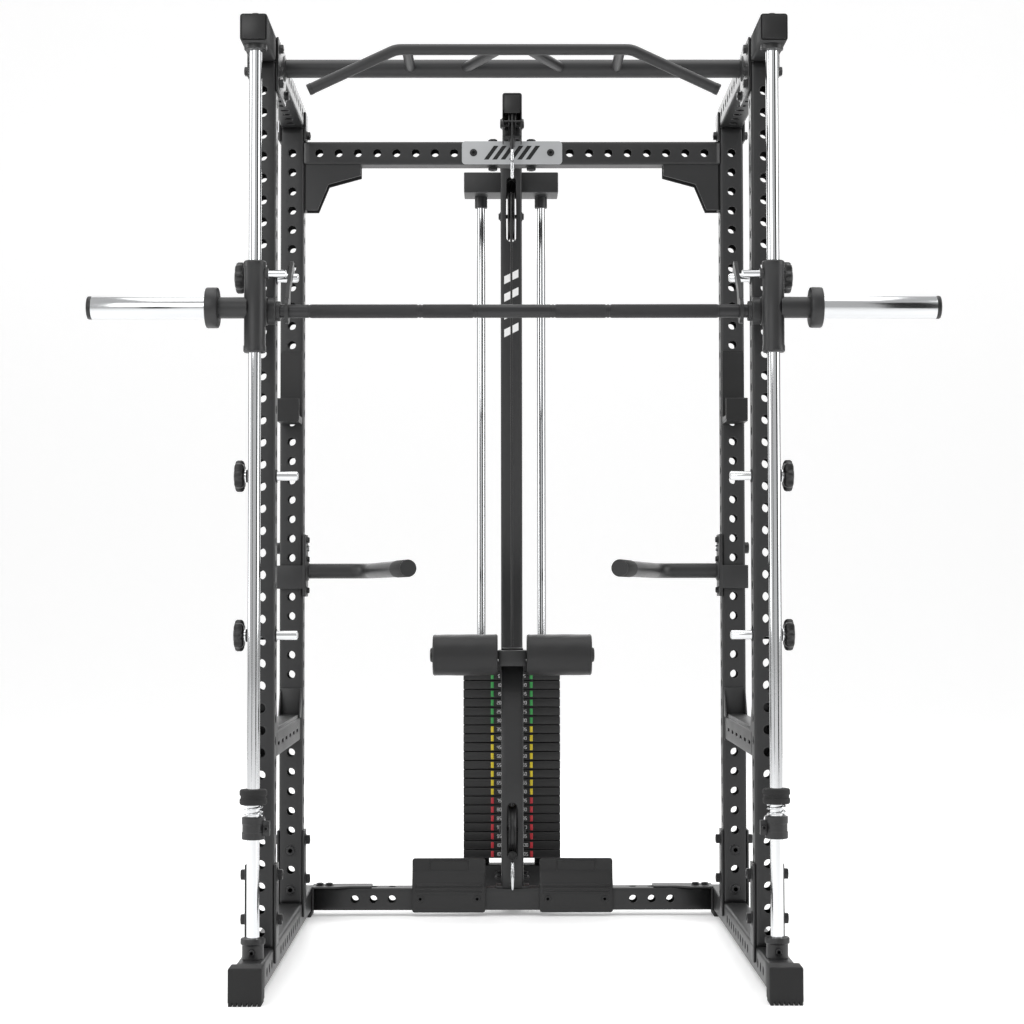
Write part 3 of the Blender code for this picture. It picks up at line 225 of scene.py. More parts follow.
@dataclass(frozen=True)
class Finish:
    """A plain finish: two close shades, roughness with slight unevenness, and a fine grain."""

    name: str
    dark: tuple[float, float, float]
    light: tuple[float, float, float]
    roughness: float
    metallic: float = 0.0
    grain: float = 900.0
    depth: float = 0.00006
    mottle: float = 9.0
    coat: float = 0.0

    def make(self) -> bpy.types.Material:
        """Return the finish as a material: mottled shade, uneven gloss, and grain as bump."""
        board = Board(self.name)
        cloud = board.noise(self.mottle, 4.0)
        grain = board.noise(self.grain, 2.0)
        board.feed("Base Color", board.mixed(cloud, self.dark, self.light))
        board.feed("Roughness", (cloud - 0.5) * 0.12 + grain * 0.05 + (self.roughness - 0.025))
        board.feed("Metallic", self.metallic)
        board.feed("Coat Weight", self.coat)
        self.relief(board, grain)
        return board.material

    def relief(self, board: Board, grain: Value) -> None:
        """Give the surface its small-scale height."""
        board.bump(grain, self.depth)


@dataclass(frozen=True)
class PowderCoat(Finish):
    """Powder coat: rounded pebbles of paint under a thin uneven gloss."""

    def relief(self, board: Board, grain: Value) -> None:
        """Sum pebbles of two sizes."""
        pebbles = board.grains(self.grain) * 0.7 + board.grains(self.grain * 0.37) * 0.5
        board.bump(pebbles + grain * 0.4, self.depth)


@dataclass(frozen=True)
class Knurl(Finish):
    """Diamond knurling cut round a bar that lies along X."""

    pitch: float = 0.0016
    radius: float = 0.0153
    centre: tuple[float, float] = (0.0, 0.0)

    def relief(self, board: Board, grain: Value) -> None:
        """Two crossing helical grooves: sin(k (x + r a)) and sin(k (x - r a)), a the angle round the bar."""
        across = board.along("Y") - self.centre[0]
        up = board.along("Z") - self.centre[1]
        angle = board.add("ShaderNodeMath", {"operation": "ARCTAN2"}, {0: up, 1: across})
        run = board.along("X") * (2 * math.pi / self.pitch)
        turn = angle * round(2 * math.pi * self.radius / self.pitch)
        ridges = (run + turn).wave() * (run - turn).wave()
        board.bump(ridges * 0.5 + grain * 0.05, self.depth)


@dataclass(frozen=True)
class Brushed(Finish):
    """Metal brushed along X: noise stretched along the brushing."""

    def relief(self, board: Board, grain: Value) -> None:
        """Noise squeezed across the lines."""
        inputs = {"Vector": board.place, "Scale": (6.0, 900.0, 900.0)}
        lines = board.add("ShaderNodeMapping", {}, inputs)
        streaks = board.add("ShaderNodeTexNoise", {}, {"Vector": lines, "Scale": 1.0, "Detail": 2.0})
        board.bump(streaks, self.depth)


@dataclass(frozen=True)
class Braid(Finish):
    """Coated wire rope: a faint helical lay under the plastic."""

    def relief(self, board: Board, grain: Value) -> None:
        """A slanted wave along the rope."""
        lay = (board.along("Z") * 1400.0 + board.along("Y") * 1400.0 + board.along("X") * 900.0).wave()
        board.bump(lay, self.depth)


CHARCOAL = ((0.0120, 0.0122, 0.0127), (0.0175, 0.0177, 0.0183))
BLACK = ((0.0040, 0.0040, 0.0042), (0.0070, 0.0070, 0.0073))
FINISHES: dict[str, Finish] = {
    "powder": PowderCoat("charcoal_powder_coat", *CHARCOAL, 0.42, grain=1500.0, depth=0.00005),
    "bar_black": Finish("bar_black_chrome", (0.0180, 0.0180, 0.0190), (0.0260, 0.0260, 0.0275), 0.30, 0.3, 600.0,
                        0.00001),
    "knurl": Knurl("bar_knurling", (0.0180, 0.0180, 0.0190), (0.0260, 0.0260, 0.0275), 0.38, 0.3, depth=0.00035,
                   centre=(-0.651, 1.495)),
    "chrome": Finish("bright_chrome", (0.66, 0.67, 0.68), (0.71, 0.72, 0.73), 0.08, 1.0, 300.0, 0.000003),
    "worn_chrome": Finish("sleeve_chrome", (0.60, 0.61, 0.62), (0.67, 0.68, 0.69), 0.16, 1.0, 500.0, 0.00001),
    "rubber": Finish("moulded_rubber", *BLACK, 0.72, grain=1100.0, depth=0.00005),
    "plastic": Finish("moulded_plastic", (0.0050, 0.0050, 0.0052), (0.0080, 0.0080, 0.0083), 0.38, grain=1800.0,
                      depth=0.00003),
    "foam": Finish("foam_skin", (0.0065, 0.0065, 0.0069), (0.0100, 0.0100, 0.0105), 0.48, grain=700.0, depth=0.00012),
    "silver": Brushed("brushed_plate", (0.46, 0.47, 0.48), (0.54, 0.55, 0.56), 0.36, 0.8, depth=0.00002),
    "stack": PowderCoat("stack_paint", (0.0060, 0.0060, 0.0062), (0.0090, 0.0090, 0.0094), 0.45, grain=900.0),
    "cable": Braid("cable_coat", *BLACK, 0.38, depth=0.00015),
    "zinc": Finish("zinc_bolt", (0.0120, 0.0120, 0.0125), (0.0200, 0.0200, 0.0210), 0.36, 0.2, 900.0, 0.00002),
    "white": Finish("white_print", (0.70, 0.70, 0.70), (0.78, 0.78, 0.78), 0.45),
    "green": Finish("green_tag", (0.04, 0.34, 0.08), (0.06, 0.40, 0.10), 0.45),
    "yellow": Finish("yellow_tag", (0.80, 0.62, 0.02), (0.86, 0.68, 0.04), 0.45),
    "red": Finish("red_tag", (0.58, 0.030, 0.045), (0.66, 0.045, 0.060), 0.45),
}


# ---------------------------------------------------------------- surfaces
class Form:
    """Gathers grid surfaces, each with a finish, into one mesh."""

    def __init__(self) -> None:
        """Start with no surface."""
        self.points: list[Array] = []
        self.faces: list[tuple[int, ...]] = []
        self.shades: list[str] = []
        self.total = 0

    def sheet(self, rows: Array, finish: str, wrap_rows: bool = False, wrap_columns: bool = False) -> "Form":
        """Add a grid of quads.

        Args:
            rows: Points as (rows, columns, 3).
            finish: Key of the finish.
            wrap_rows: Join the last row to the first.
            wrap_columns: Join the last column to the first.

        Returns:
            The form, for chaining.
        """
        count, width = rows.shape[:2]
        index = self.total + np.arange(count * width).reshape(count, width)
        if wrap_rows:
            index = np.vstack([index, index[:1]])
        if wrap_columns:
            index = np.hstack([index, index[:, :1]])
        corners = (index[:-1, :-1], index[:-1, 1:], index[1:, 1:], index[1:, :-1])
        quads = np.stack(corners, axis=-1).reshape(-1, 4)
        self.points.append(rows.reshape(-1, 3))
        self.faces += list(map(tuple, quads.tolist()))
        self.shades += [finish] * len(quads)
        self.total += count * width
        return self

    def solid(self, rings: Array, finish: str) -> "Form":
        """Add closed rings joined along their stack, with a face over each end ring."""
        first = self.total
        count, width = rings.shape[:2]
        self.sheet(rings, finish, wrap_columns=True)
        low = tuple(range(first + width - 1, first - 1, -1))
        high = tuple(range(first + (count - 1) * width, first + count * width))
        self.faces += [low, high]
        self.shades += [finish] * 2
        return self

    def solid_sphere(self, rows: Array, finish: str) -> "Form":
        """Add a grid that runs round in its columns and closes to a face at each pole."""
        return self.solid(rows, finish)

    def build(self, name: str, body: str, slot: str, bevel: float = 0.0, wall: float = 0.0,
              smooth: float = 35.0) -> bpy.types.Object:
        """Weld the surfaces into an object that rides on a body.

        Args:
            name: Name of the piece.
            body: CAD body that it rides on.
            slot: Material slot of the record; not used.
            bevel: Width of a live bevel on sharp edges, or 0.
            wall: Thickness given inwards to an open skin, or 0.
            smooth: Largest angle in degrees between faces shaded as one.

        Returns:
            The object.
        """
        mesh = bpy.data.meshes.new(name)
        mesh.from_pydata(np.concatenate(self.points).tolist(), [], self.faces)
        keys = sorted(set(self.shades))
        for key in keys:
            mesh.materials.append(WARDROBE[key])
        number = {key: place for place, key in enumerate(keys)}
        mesh.polygons.foreach_set("material_index", [number[key] for key in self.shades])
        data = bmesh.new()
        data.from_mesh(mesh)
        bmesh.ops.remove_doubles(data, verts=data.verts, dist=1e-6)
        bmesh.ops.recalc_face_normals(data, faces=data.faces)
        data.to_mesh(mesh)
        data.free()
        mesh.shade_smooth()
        mesh.set_sharp_from_angle(angle=math.radians(smooth))
        piece = bpy.data.objects.new(name, mesh)
        bpy.context.scene.collection.objects.link(piece)
        if wall:
            shell = piece.modifiers.new("wall", "SOLIDIFY")
            shell.thickness = wall
            shell.offset = -1.0
            shell.use_even_offset = True
        if bevel:
            edge = piece.modifiers.new("edge", "BEVEL")
            edge.width = bevel
            edge.segments = 2
            edge.limit_method = "ANGLE"
            edge.angle_limit = math.radians(38)
            edge.harden_normals = False
        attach(piece, body)
        LOG.info("%s: %d faces on %s", name, len(mesh.polygons), body)
        return piece


WARDROBE: dict[str, bpy.types.Material] = {}


def circle(count: int) -> tuple[Array, Array]:
    """Cosines and sines of count equal steps round a circle."""
    angles = np.linspace(0, 2 * math.pi, count, endpoint=False)
    return np.cos(angles), np.sin(angles)


def lathe(profile: Sequence[tuple[float, float]], axis: Axis, centre: Sequence[float], count: int = 40,
          lobes: Callable[[Array], Array] | None = None) -> Array:
    """A profile turned about an axis: point = centre + (r cos a, r sin a, h).

    Args:
        profile: (radius, height) points along the axis.
        axis: Axis of turning.
        centre: Row point of height 0.
        count: Steps round the axis.
        lobes: Optional factor on the radius as a function of the angle.

    Returns:
        Rings as (heights, count, 3).
    """
    outline = np.asarray(profile, dtype=float)
    angles = np.linspace(0, 2 * math.pi, count, endpoint=False)
    reach = np.ones(count) if lobes is None else lobes(angles)
    radius = outline[:, :1] * reach[None, :]
    height = np.repeat(outline[:, 1:], count, axis=1)
    local = np.stack([radius * np.cos(angles), radius * np.sin(angles), height], axis=-1)
    return placed(local, axis) + np.asarray(centre, dtype=float)


def rod_profile(radius: float, start: float, end: float, chamfer: float) -> list[tuple[float, float]]:
    """Profile of a round bar with a small chamfer at both ends."""
    return [(radius - chamfer, start), (radius, start + chamfer), (radius, end - chamfer),
            (radius - chamfer, end)]


def swept(path: Array, radius: float | Array, up: Sequence[float], count: int = 20, loop: bool = False) -> Array:
    """A circle carried along a path: point = path + r (cos a side + sin a lift).

    Args:
        path: Points as (n, 3).
        radius: Radius, or one for each point.
        up: A direction that the path never follows, which sets the rings' first axis.
        count: Steps round the path.
        loop: The path closes on itself.

    Returns:
        Rings as (n, count, 3).
    """
    if loop:
        tangent = np.roll(path, -1, axis=0) - np.roll(path, 1, axis=0)
    else:
        tangent = np.gradient(path, axis=0)
    tangent /= np.linalg.norm(tangent, axis=1, keepdims=True)
    side = np.cross(np.asarray(up, dtype=float), tangent)
    side /= np.linalg.norm(side, axis=1, keepdims=True)
    lift = np.cross(tangent, side)
    cosine, sine = circle(count)
    reach = np.broadcast_to(np.asarray(radius, dtype=float), (len(path),))[:, None, None]
    ring = cosine[None, :, None] * side[:, None, :] + sine[None, :, None] * lift[:, None, :]
    return path[:, None, :] + reach * ring


def bent(points: Sequence[Sequence[float]], radius: float, steps: int = 10) -> Array:
    """A path through points whose corners are arcs of a radius."""
    corners = [np.asarray(point, dtype=float) for point in points]
    path = [corners[0]]
    for before, corner, after in zip(corners, corners[1:], corners[2:]):
        back = (before - corner) / np.linalg.norm(before - corner)
        ahead = (after - corner) / np.linalg.norm(after - corner)
        half = math.acos(float(np.clip(back @ ahead, -1, 1))) / 2
        middle = corner + (back + ahead) / np.linalg.norm(back + ahead) * radius / math.sin(half)
        first = corner + back * radius / math.tan(half) - middle
        last = corner + ahead * radius / math.tan(half) - middle
        swing = math.pi - 2 * half
        share = np.linspace(0, 1, steps + 1)[:, None]
        arc = (first * np.sin((1 - share) * swing) + last * np.sin(share * swing)) / math.sin(swing)
        path += list(middle + arc)
    path.append(corners[-1])
    return np.asarray(path)


def soft_box(low: Sequence[float], high: Sequence[float], corner: float, steps: int = 3) -> Array:
    """A box with rounded edges: a small sphere whose octants are pushed to the box's corners.

    point = middle + sign(n) (half - corner) + corner n, over directions n of the sphere.
    """
    low, high = np.minimum(low, high), np.maximum(low, high)
    middle, half = (low + high) / 2, (high - low) / 2
    corner = min(corner, float(half.min()) * 0.999)
    quarter = np.linspace(0, math.pi / 2, steps + 1)
    rise = np.concatenate([quarter - math.pi / 2, quarter])
    turn = np.concatenate([quarter + k * math.pi / 2 for k in range(4)])
    rise_sign = np.repeat([-1.0, 1.0], steps + 1)
    cos_sign = np.repeat([1.0, -1.0, -1.0, 1.0], steps + 1)
    sin_sign = np.repeat([1.0, 1.0, -1.0, -1.0], steps + 1)
    rise_grid, turn_grid = np.meshgrid(rise, turn, indexing="ij")
    direction = np.stack([np.cos(rise_grid) * np.cos(turn_grid), np.cos(rise_grid) * np.sin(turn_grid),
                          np.sin(rise_grid)], axis=-1)
    signs = np.stack([np.broadcast_to(cos_sign, rise_grid.shape), np.broadcast_to(sin_sign, rise_grid.shape),
                      np.broadcast_to(rise_sign[:, None], rise_grid.shape)], axis=-1)
    return middle + signs * (half - corner) + corner * direction


def slab(outline: Sequence[tuple[float, float]], axis: Axis, start: float, end: float) -> Array:
    """A flat outline carried from start to end; its points are the two axes after axis, in turn."""
    flat = np.asarray(outline, dtype=float)
    heights = np.array([start, end])
    local = np.empty((2, len(flat), 3))
    local[:, :, :2] = flat
    local[:, :, 2] = heights[:, None]
    return placed(local, axis)


def hexagon(angles: Array) -> Array:
    """Factor on the radius that turns a circle through a hexagon's corners into the hexagon."""
    return math.cos(math.pi / 6) / np.cos(np.mod(angles, math.pi / 3) - math.pi / 6)


def round_bar(form: Form, finish: str, axis: Axis, centre: Sequence[float], radius: float, span: Sequence[float],
              chamfer: float = 0.0012, count: int = 40) -> None:
    """Add a closed round bar with chamfered ends, from the lower to the higher end of a span."""
    start, end = sorted(span)
    form.solid(lathe(rod_profile(radius, start, end, chamfer), axis, centre, count), finish)


def bolt_head(form: Form, axis: Axis, centre: Sequence[float], way: int, radius: float = 0.0130,
              thick: float = 0.012, finish: str = "zinc") -> None:
    """Add a washer and a chamfered hexagon head that stand out one way along an axis."""
    plate = 0.0018
    washer = [(radius * 1.22, 0.0), (radius * 1.30, way * plate * 0.5), (radius * 1.22, way * plate)]
    form.solid(lathe(washer, axis, centre, 30), finish)
    head = [(radius, way * plate), (radius, way * (thick - 0.0014)), (radius * 0.82, way * thick)]
    form.solid(lathe(head, axis, centre, 24, hexagon), finish)
    socket = [(radius * 0.46, way * (thick + 0.0001)), (radius * 0.40, way * (thick + 0.0001))]
    form.solid(lathe(socket, axis, centre, 18), finish)


def band_box(form: Form, finish: str, x: Sequence[float], y: Sequence[float], z: Sequence[float],
             corner: float = 0.0012, steps: int = 2) -> None:
    """Add a box with rounded edges between two values on each axis, given in either order."""
    form.solid_sphere(soft_box((x[0], y[0], z[0]), (x[1], y[1], z[1]), corner, steps), finish)


def rectangle(width: float, height: float, corner: float, steps: int = 4) -> Array:
    """Outline of a rectangle with rounded corners about the origin."""
    quarter = np.linspace(0, math.pi / 2, steps + 1)
    turn = np.concatenate([quarter + k * math.pi / 2 for k in range(4)])
    right = np.repeat([1.0, -1.0, -1.0, 1.0], steps + 1)
    up = np.repeat([1.0, 1.0, -1.0, -1.0], steps + 1)
    return np.stack([right * (width / 2 - corner) + corner * np.cos(turn),
                     up * (height / 2 - corner) + corner * np.sin(turn)], axis=-1)


@dataclass
class HoledTube:
    """Square tube whose walls carry rows of round holes.

    Each hole sits in a tile as long as the hole pitch: a polar grid from the hole's circle out to the
    tile's border. Plain strips fill the rest of a wall, and quarter circles join the walls.
    """

    axis: Axis
    centre: tuple[float, float]
    start: float
    end: float
    width: float = 0.060
    height: float = 0.060
    holes: dict[int, Iterable[float]] = field(default_factory=dict)
    pitch: float = HOLE_PITCH
    radius: float = HOLE_RADIUS
    slot: float = 0.0
    rungs: int = 6

    def wall(self, index: int, across: Array, along: Array) -> Array:
        """Points of one wall: index quarter turns from the first axis, across and along it."""
        reach = (self.width if index % 2 == 0 else self.height) / 2
        turn = index * math.pi / 2
        first = self.centre[0] + reach * math.cos(turn) - across * math.sin(turn)
        second = self.centre[1] + reach * math.sin(turn) + across * math.cos(turn)
        return placed(np.stack(np.broadcast_arrays(first, second, along), axis=-1), self.axis)

    def tile(self, index: int, spot: float, span: float) -> Array:
        """Polar grid between a hole's circle and its tile's border: (1 - s) circle + s border."""
        step = np.linspace(-1, 1, self.rungs + 1)[:-1]
        flat = np.ones_like(step)
        border = np.concatenate([np.stack([step, -flat]), np.stack([flat, step]), np.stack([-step, flat]),
                                 np.stack([-flat, -step])], axis=1)
        angle = np.arctan2(border[1], border[0])
        share = np.array([0.0, 0.12, 1.0])[:, None]
        outer = border * np.array([[self.pitch / 2], [span]])
        rim = self.radius * np.cos(angle) + self.slot / 2 * np.sign(np.round(np.cos(angle), 6))
        along = (1 - share) * rim + share * outer[0]
        across = (1 - share) * self.radius * np.sin(angle) + share * outer[1]
        rows = spot + along
        rows[-1] = np.round(rows[-1], 6)
        return self.wall(index, across, rows)

    def skin(self, form: Form, finish: str) -> None:
        """Add the tube's outer skin to a form."""
        offsets = np.linspace(-0.5, 0.5, self.rungs + 1) * self.pitch
        spots = {index: np.asarray(sorted(places), dtype=float) for index, places in self.holes.items()}
        marks = [np.array([self.start, self.end])] + [(s[:, None] + offsets).ravel() for s in spots.values()]
        stations = np.unique(np.round(np.concatenate(marks), 6))
        stations = stations[(stations >= self.start - 1e-6) & (stations <= self.end + 1e-6)]
        quarter = np.linspace(0, math.pi / 2, 5)
        for index in range(4):
            reach, side = (self.width, self.height) if index % 2 == 0 else (self.height, self.width)
            span = side / 2 - TUBE_CORNER
            turn = index * math.pi / 2 + quarter
            corner_first = math.cos(index * math.pi / 2) * (reach / 2 - TUBE_CORNER)
            corner_first -= math.sin(index * math.pi / 2) * span
            corner_second = math.sin(index * math.pi / 2) * (reach / 2 - TUBE_CORNER)
            corner_second += math.cos(index * math.pi / 2) * span
            first = self.centre[0] + corner_first + TUBE_CORNER * np.cos(turn)
            second = self.centre[1] + corner_second + TUBE_CORNER * np.sin(turn)
            arc = np.stack(np.broadcast_arrays(first[None], second[None], stations[:, None]), axis=-1)
            form.sheet(placed(arc, self.axis), finish)
            across = np.linspace(-span, span, self.rungs + 1)
            covered = np.zeros(len(stations) - 1, dtype=bool)
            middles = (stations[1:] + stations[:-1]) / 2
            for spot in spots.get(index, ()):
                covered |= np.abs(middles - spot) < self.pitch / 2 - 1e-5
                form.sheet(self.tile(index, spot, span), finish, wrap_columns=True)
            edges = np.flatnonzero(np.diff(np.concatenate([[True], covered, [True]]).astype(int)))
            for low, high in zip(edges[::2], edges[1::2]):
                rows = stations[low:high + 1]
                form.sheet(self.wall(index, across[None, :], rows[:, None]), finish)

    def build(self, name: str, body: str, finish: str = "powder", slot: str = "powder_coat") -> bpy.types.Object:
        """Return the tube as an object of its real wall thickness."""
        form = Form()
        self.skin(form, finish)
        return form.build(name, body, slot, wall=TUBE_WALL)


# ---------------------------------------------------------------- places from the frame
def corners(node: str) -> tuple[Array, Array]:
    """Lowest and highest corner of a node of the frame."""
    low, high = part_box(node)
    return np.array(low), np.array(high)


def middle(node: str) -> Array:
    """Middle of a node's box."""
    low, high = corners(node)
    return (low + high) / 2


def ladder(first: float, count: int) -> Array:
    """Hole places: first, first + pitch, and so on."""
    return first + HOLE_PITCH * np.arange(count)


# ---------------------------------------------------------------- base, uprights and beams
@dataclass
class Base:
    """Floor runners with their upright brackets, rubber shoes and feet, and the rear crossmember."""

    bracket_top: float = 0.260
    bracket_plate: float = 0.005
    bolt_heights: tuple[float, ...] = (0.135, 0.235)
    tread_teeth: int = 7

    def build(self) -> None:
        """Build every piece of the base."""
        for side, name in SIDES:
            self.runner(side, name)
            self.shoe(side, name)
            self.rear_foot(name)
        self.crossmember()

    def runner(self, side: int, name: str) -> None:
        """Tube with holes on both sides, and the welded brackets, bolts and rod cup on it."""
        node = f"runner_{name}"
        low, high = corners(node)
        x = middle(f"upright_front_{name}")[0]
        front = middle(f"upright_front_{name}")[1]
        tops = middle(f"front_shoe_{name}")
        holes = np.concatenate([ladder(front - 0.165, 3), ladder(front + 0.135, 10)])
        tube = HoledTube(Axis.Y, (0.045, x), low[1], high[1], holes={1: holes, 3: holes})
        tube.build(f"runner_tube_{name}", "frame")
        form = Form()
        for end in ("front", "rear"):
            y = middle(f"upright_{end}_{name}")[1]
            for face in (-1, 1):
                inner = x + face * 0.0303
                outer = inner + face * self.bracket_plate
                band_box(form, "powder", (inner, outer), (y - 0.030, y + 0.030), (0.040, self.bracket_top), 0.0014)
                for z in self.bolt_heights:
                    bolt_head(form, Axis.X, (outer, y, z), face)
                self.weld(form, x + face * 0.0325, y, 0.0755)
        for z in (0.110, 0.210):
            bolt_head(form, Axis.Y, (x, middle(f"upright_rear_{name}")[1] - 0.0300, z), -1, 0.0115, 0.0090)
        rod = middle(f"guide_rod_{name}")
        cup = [(0.0150, 0.0), (0.0235, 0.0), (0.0235, 0.030), (0.0268, 0.033), (0.0268, 0.0425), (0.0255, 0.0445),
               (0.0150, 0.0445)]
        form.solid(lathe(cup, Axis.Z, (x, rod[1], 0.0752), 40), "powder")
        bolt_head(form, Axis.Y, (x, rod[1] - 0.0228, 0.0910), -1, 0.0070, 0.0070)
        band_box(form, "plastic", (x - 0.0268, x + 0.0268), (tops[1] + 0.020, tops[1] + 0.032), (0.019, 0.071))
        piece = form.build(f"runner_fittings_{name}", "frame", "powder_coat")
        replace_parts(piece, node)
        LOG.info("runner %s on side %d", name, side)

    @staticmethod
    def weld(form: Form, x: float, y: float, z: float) -> None:
        """Add a rippled weld bead along Y: radius r (1 + 0.12 sin of 14 ripples)."""
        along = np.linspace(-0.028, 0.028, 57)
        path = np.stack([np.full_like(along, x), y + along, np.full_like(along, z)], axis=-1)
        radius = 0.0030 * (1 + 0.12 * np.sin(along * 2 * math.pi * 14 / 0.056))
        form.solid(swept(path, radius, (0, 0, 1), 10), "powder")

    def shoe(self, side: int, name: str) -> None:
        """Rubber shoe: a rounded block with a row of tread teeth."""
        node = f"front_shoe_{name}"
        low, high = corners(node)
        form = Form()
        tread = 0.009
        band_box(form, "rubber", (low[0], high[0]), (low[1] + 0.0005, high[1]), (tread * 0.6, high[2]), 0.004, 4)
        width = (high[0] - low[0]) / self.tread_teeth
        for tooth in range(self.tread_teeth):
            start = low[0] + width * (tooth + 0.14)
            band_box(form, "rubber", (start, start + width * 0.72), (low[1], high[1] - 0.002), (0.0, tread + 0.003),
                     0.0012)
        piece = form.build(f"rubber_shoe_{name}", "frame", "rubber")
        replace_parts(piece, node)
        LOG.info("shoe %s on side %d", name, side)

    @staticmethod
    def rear_foot(name: str) -> None:
        """Rubber sole and end cap of a runner."""
        node = f"rear_foot_{name}"
        low, high = corners(node)
        form = Form()
        band_box(form, "rubber", (low[0], high[0]), (low[1], high[1]), (0.0, 0.0146), 0.003, 3)
        band_box(form, "rubber", (low[0], high[0]), (high[1] - 0.0058, high[1]), (0.004, high[2]), 0.002, 3)
        piece = form.build(f"rubber_foot_{name}", "frame", "rubber")
        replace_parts(piece, node)

    def crossmember(self) -> None:
        """Tube between the runners with stepped flange plates bolted on top."""
        low, high = corners("floor_crossmember")
        y = middle("front_post")[1]
        holes = np.concatenate([-ladder(0.325, 3), ladder(0.325, 3)])
        tube = HoledTube(Axis.X, (y, 0.045), low[0], high[0], holes={0: holes, 1: holes, 2: holes})
        tube.build("crossmember_tube", "frame")
        form = Form()
        end = high[0]
        for side, _ in SIDES:
            outline = [(0, -0.045), (0.060, -0.045), (0.100, -0.028), (0.160, -0.028), (0.160, 0.028), (0, 0.028)]
            flange = [(side * (end - along), y + across) for along, across in outline]
            form.solid(slab(flange, Axis.Z, 0.0751, 0.0800), "powder")
            band_box(form, "powder", (side * end, side * (end - 0.005)), (y - 0.044, y + 0.029), (0.017, 0.079))
            for place in (0.020, 0.045):
                bolt_head(form, Axis.Z, (side * (end - place), y - 0.012, 0.0800), 1, 0.0095, 0.0075)
        piece = form.build("crossmember_flanges", "frame", "powder_coat", bevel=0.0010)
        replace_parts(piece, "floor_crossmember")


@dataclass
class Uprights:
    """Four uprights with round adjustment holes on all four walls."""

    first_hole: float = 0.110
    hole_count: int = 39

    def build(self) -> None:
        """Build every upright."""
        faces = ladder(self.first_hole, self.hole_count)
        flanks = ladder(self.first_hole + SIDE_HOLE_SHIFT, self.hole_count)
        for _, name in SIDES:
            for end in ("front", "rear"):
                node = f"upright_{end}_{name}"
                low, high = corners(node)
                centre = middle(node)
                tube = HoledTube(Axis.Z, (centre[0], centre[1]), low[2], high[2],
                                 holes={0: flanks, 1: faces, 2: flanks, 3: faces})
                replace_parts(tube.build(f"upright_tube_{end}_{name}", "frame"), node)


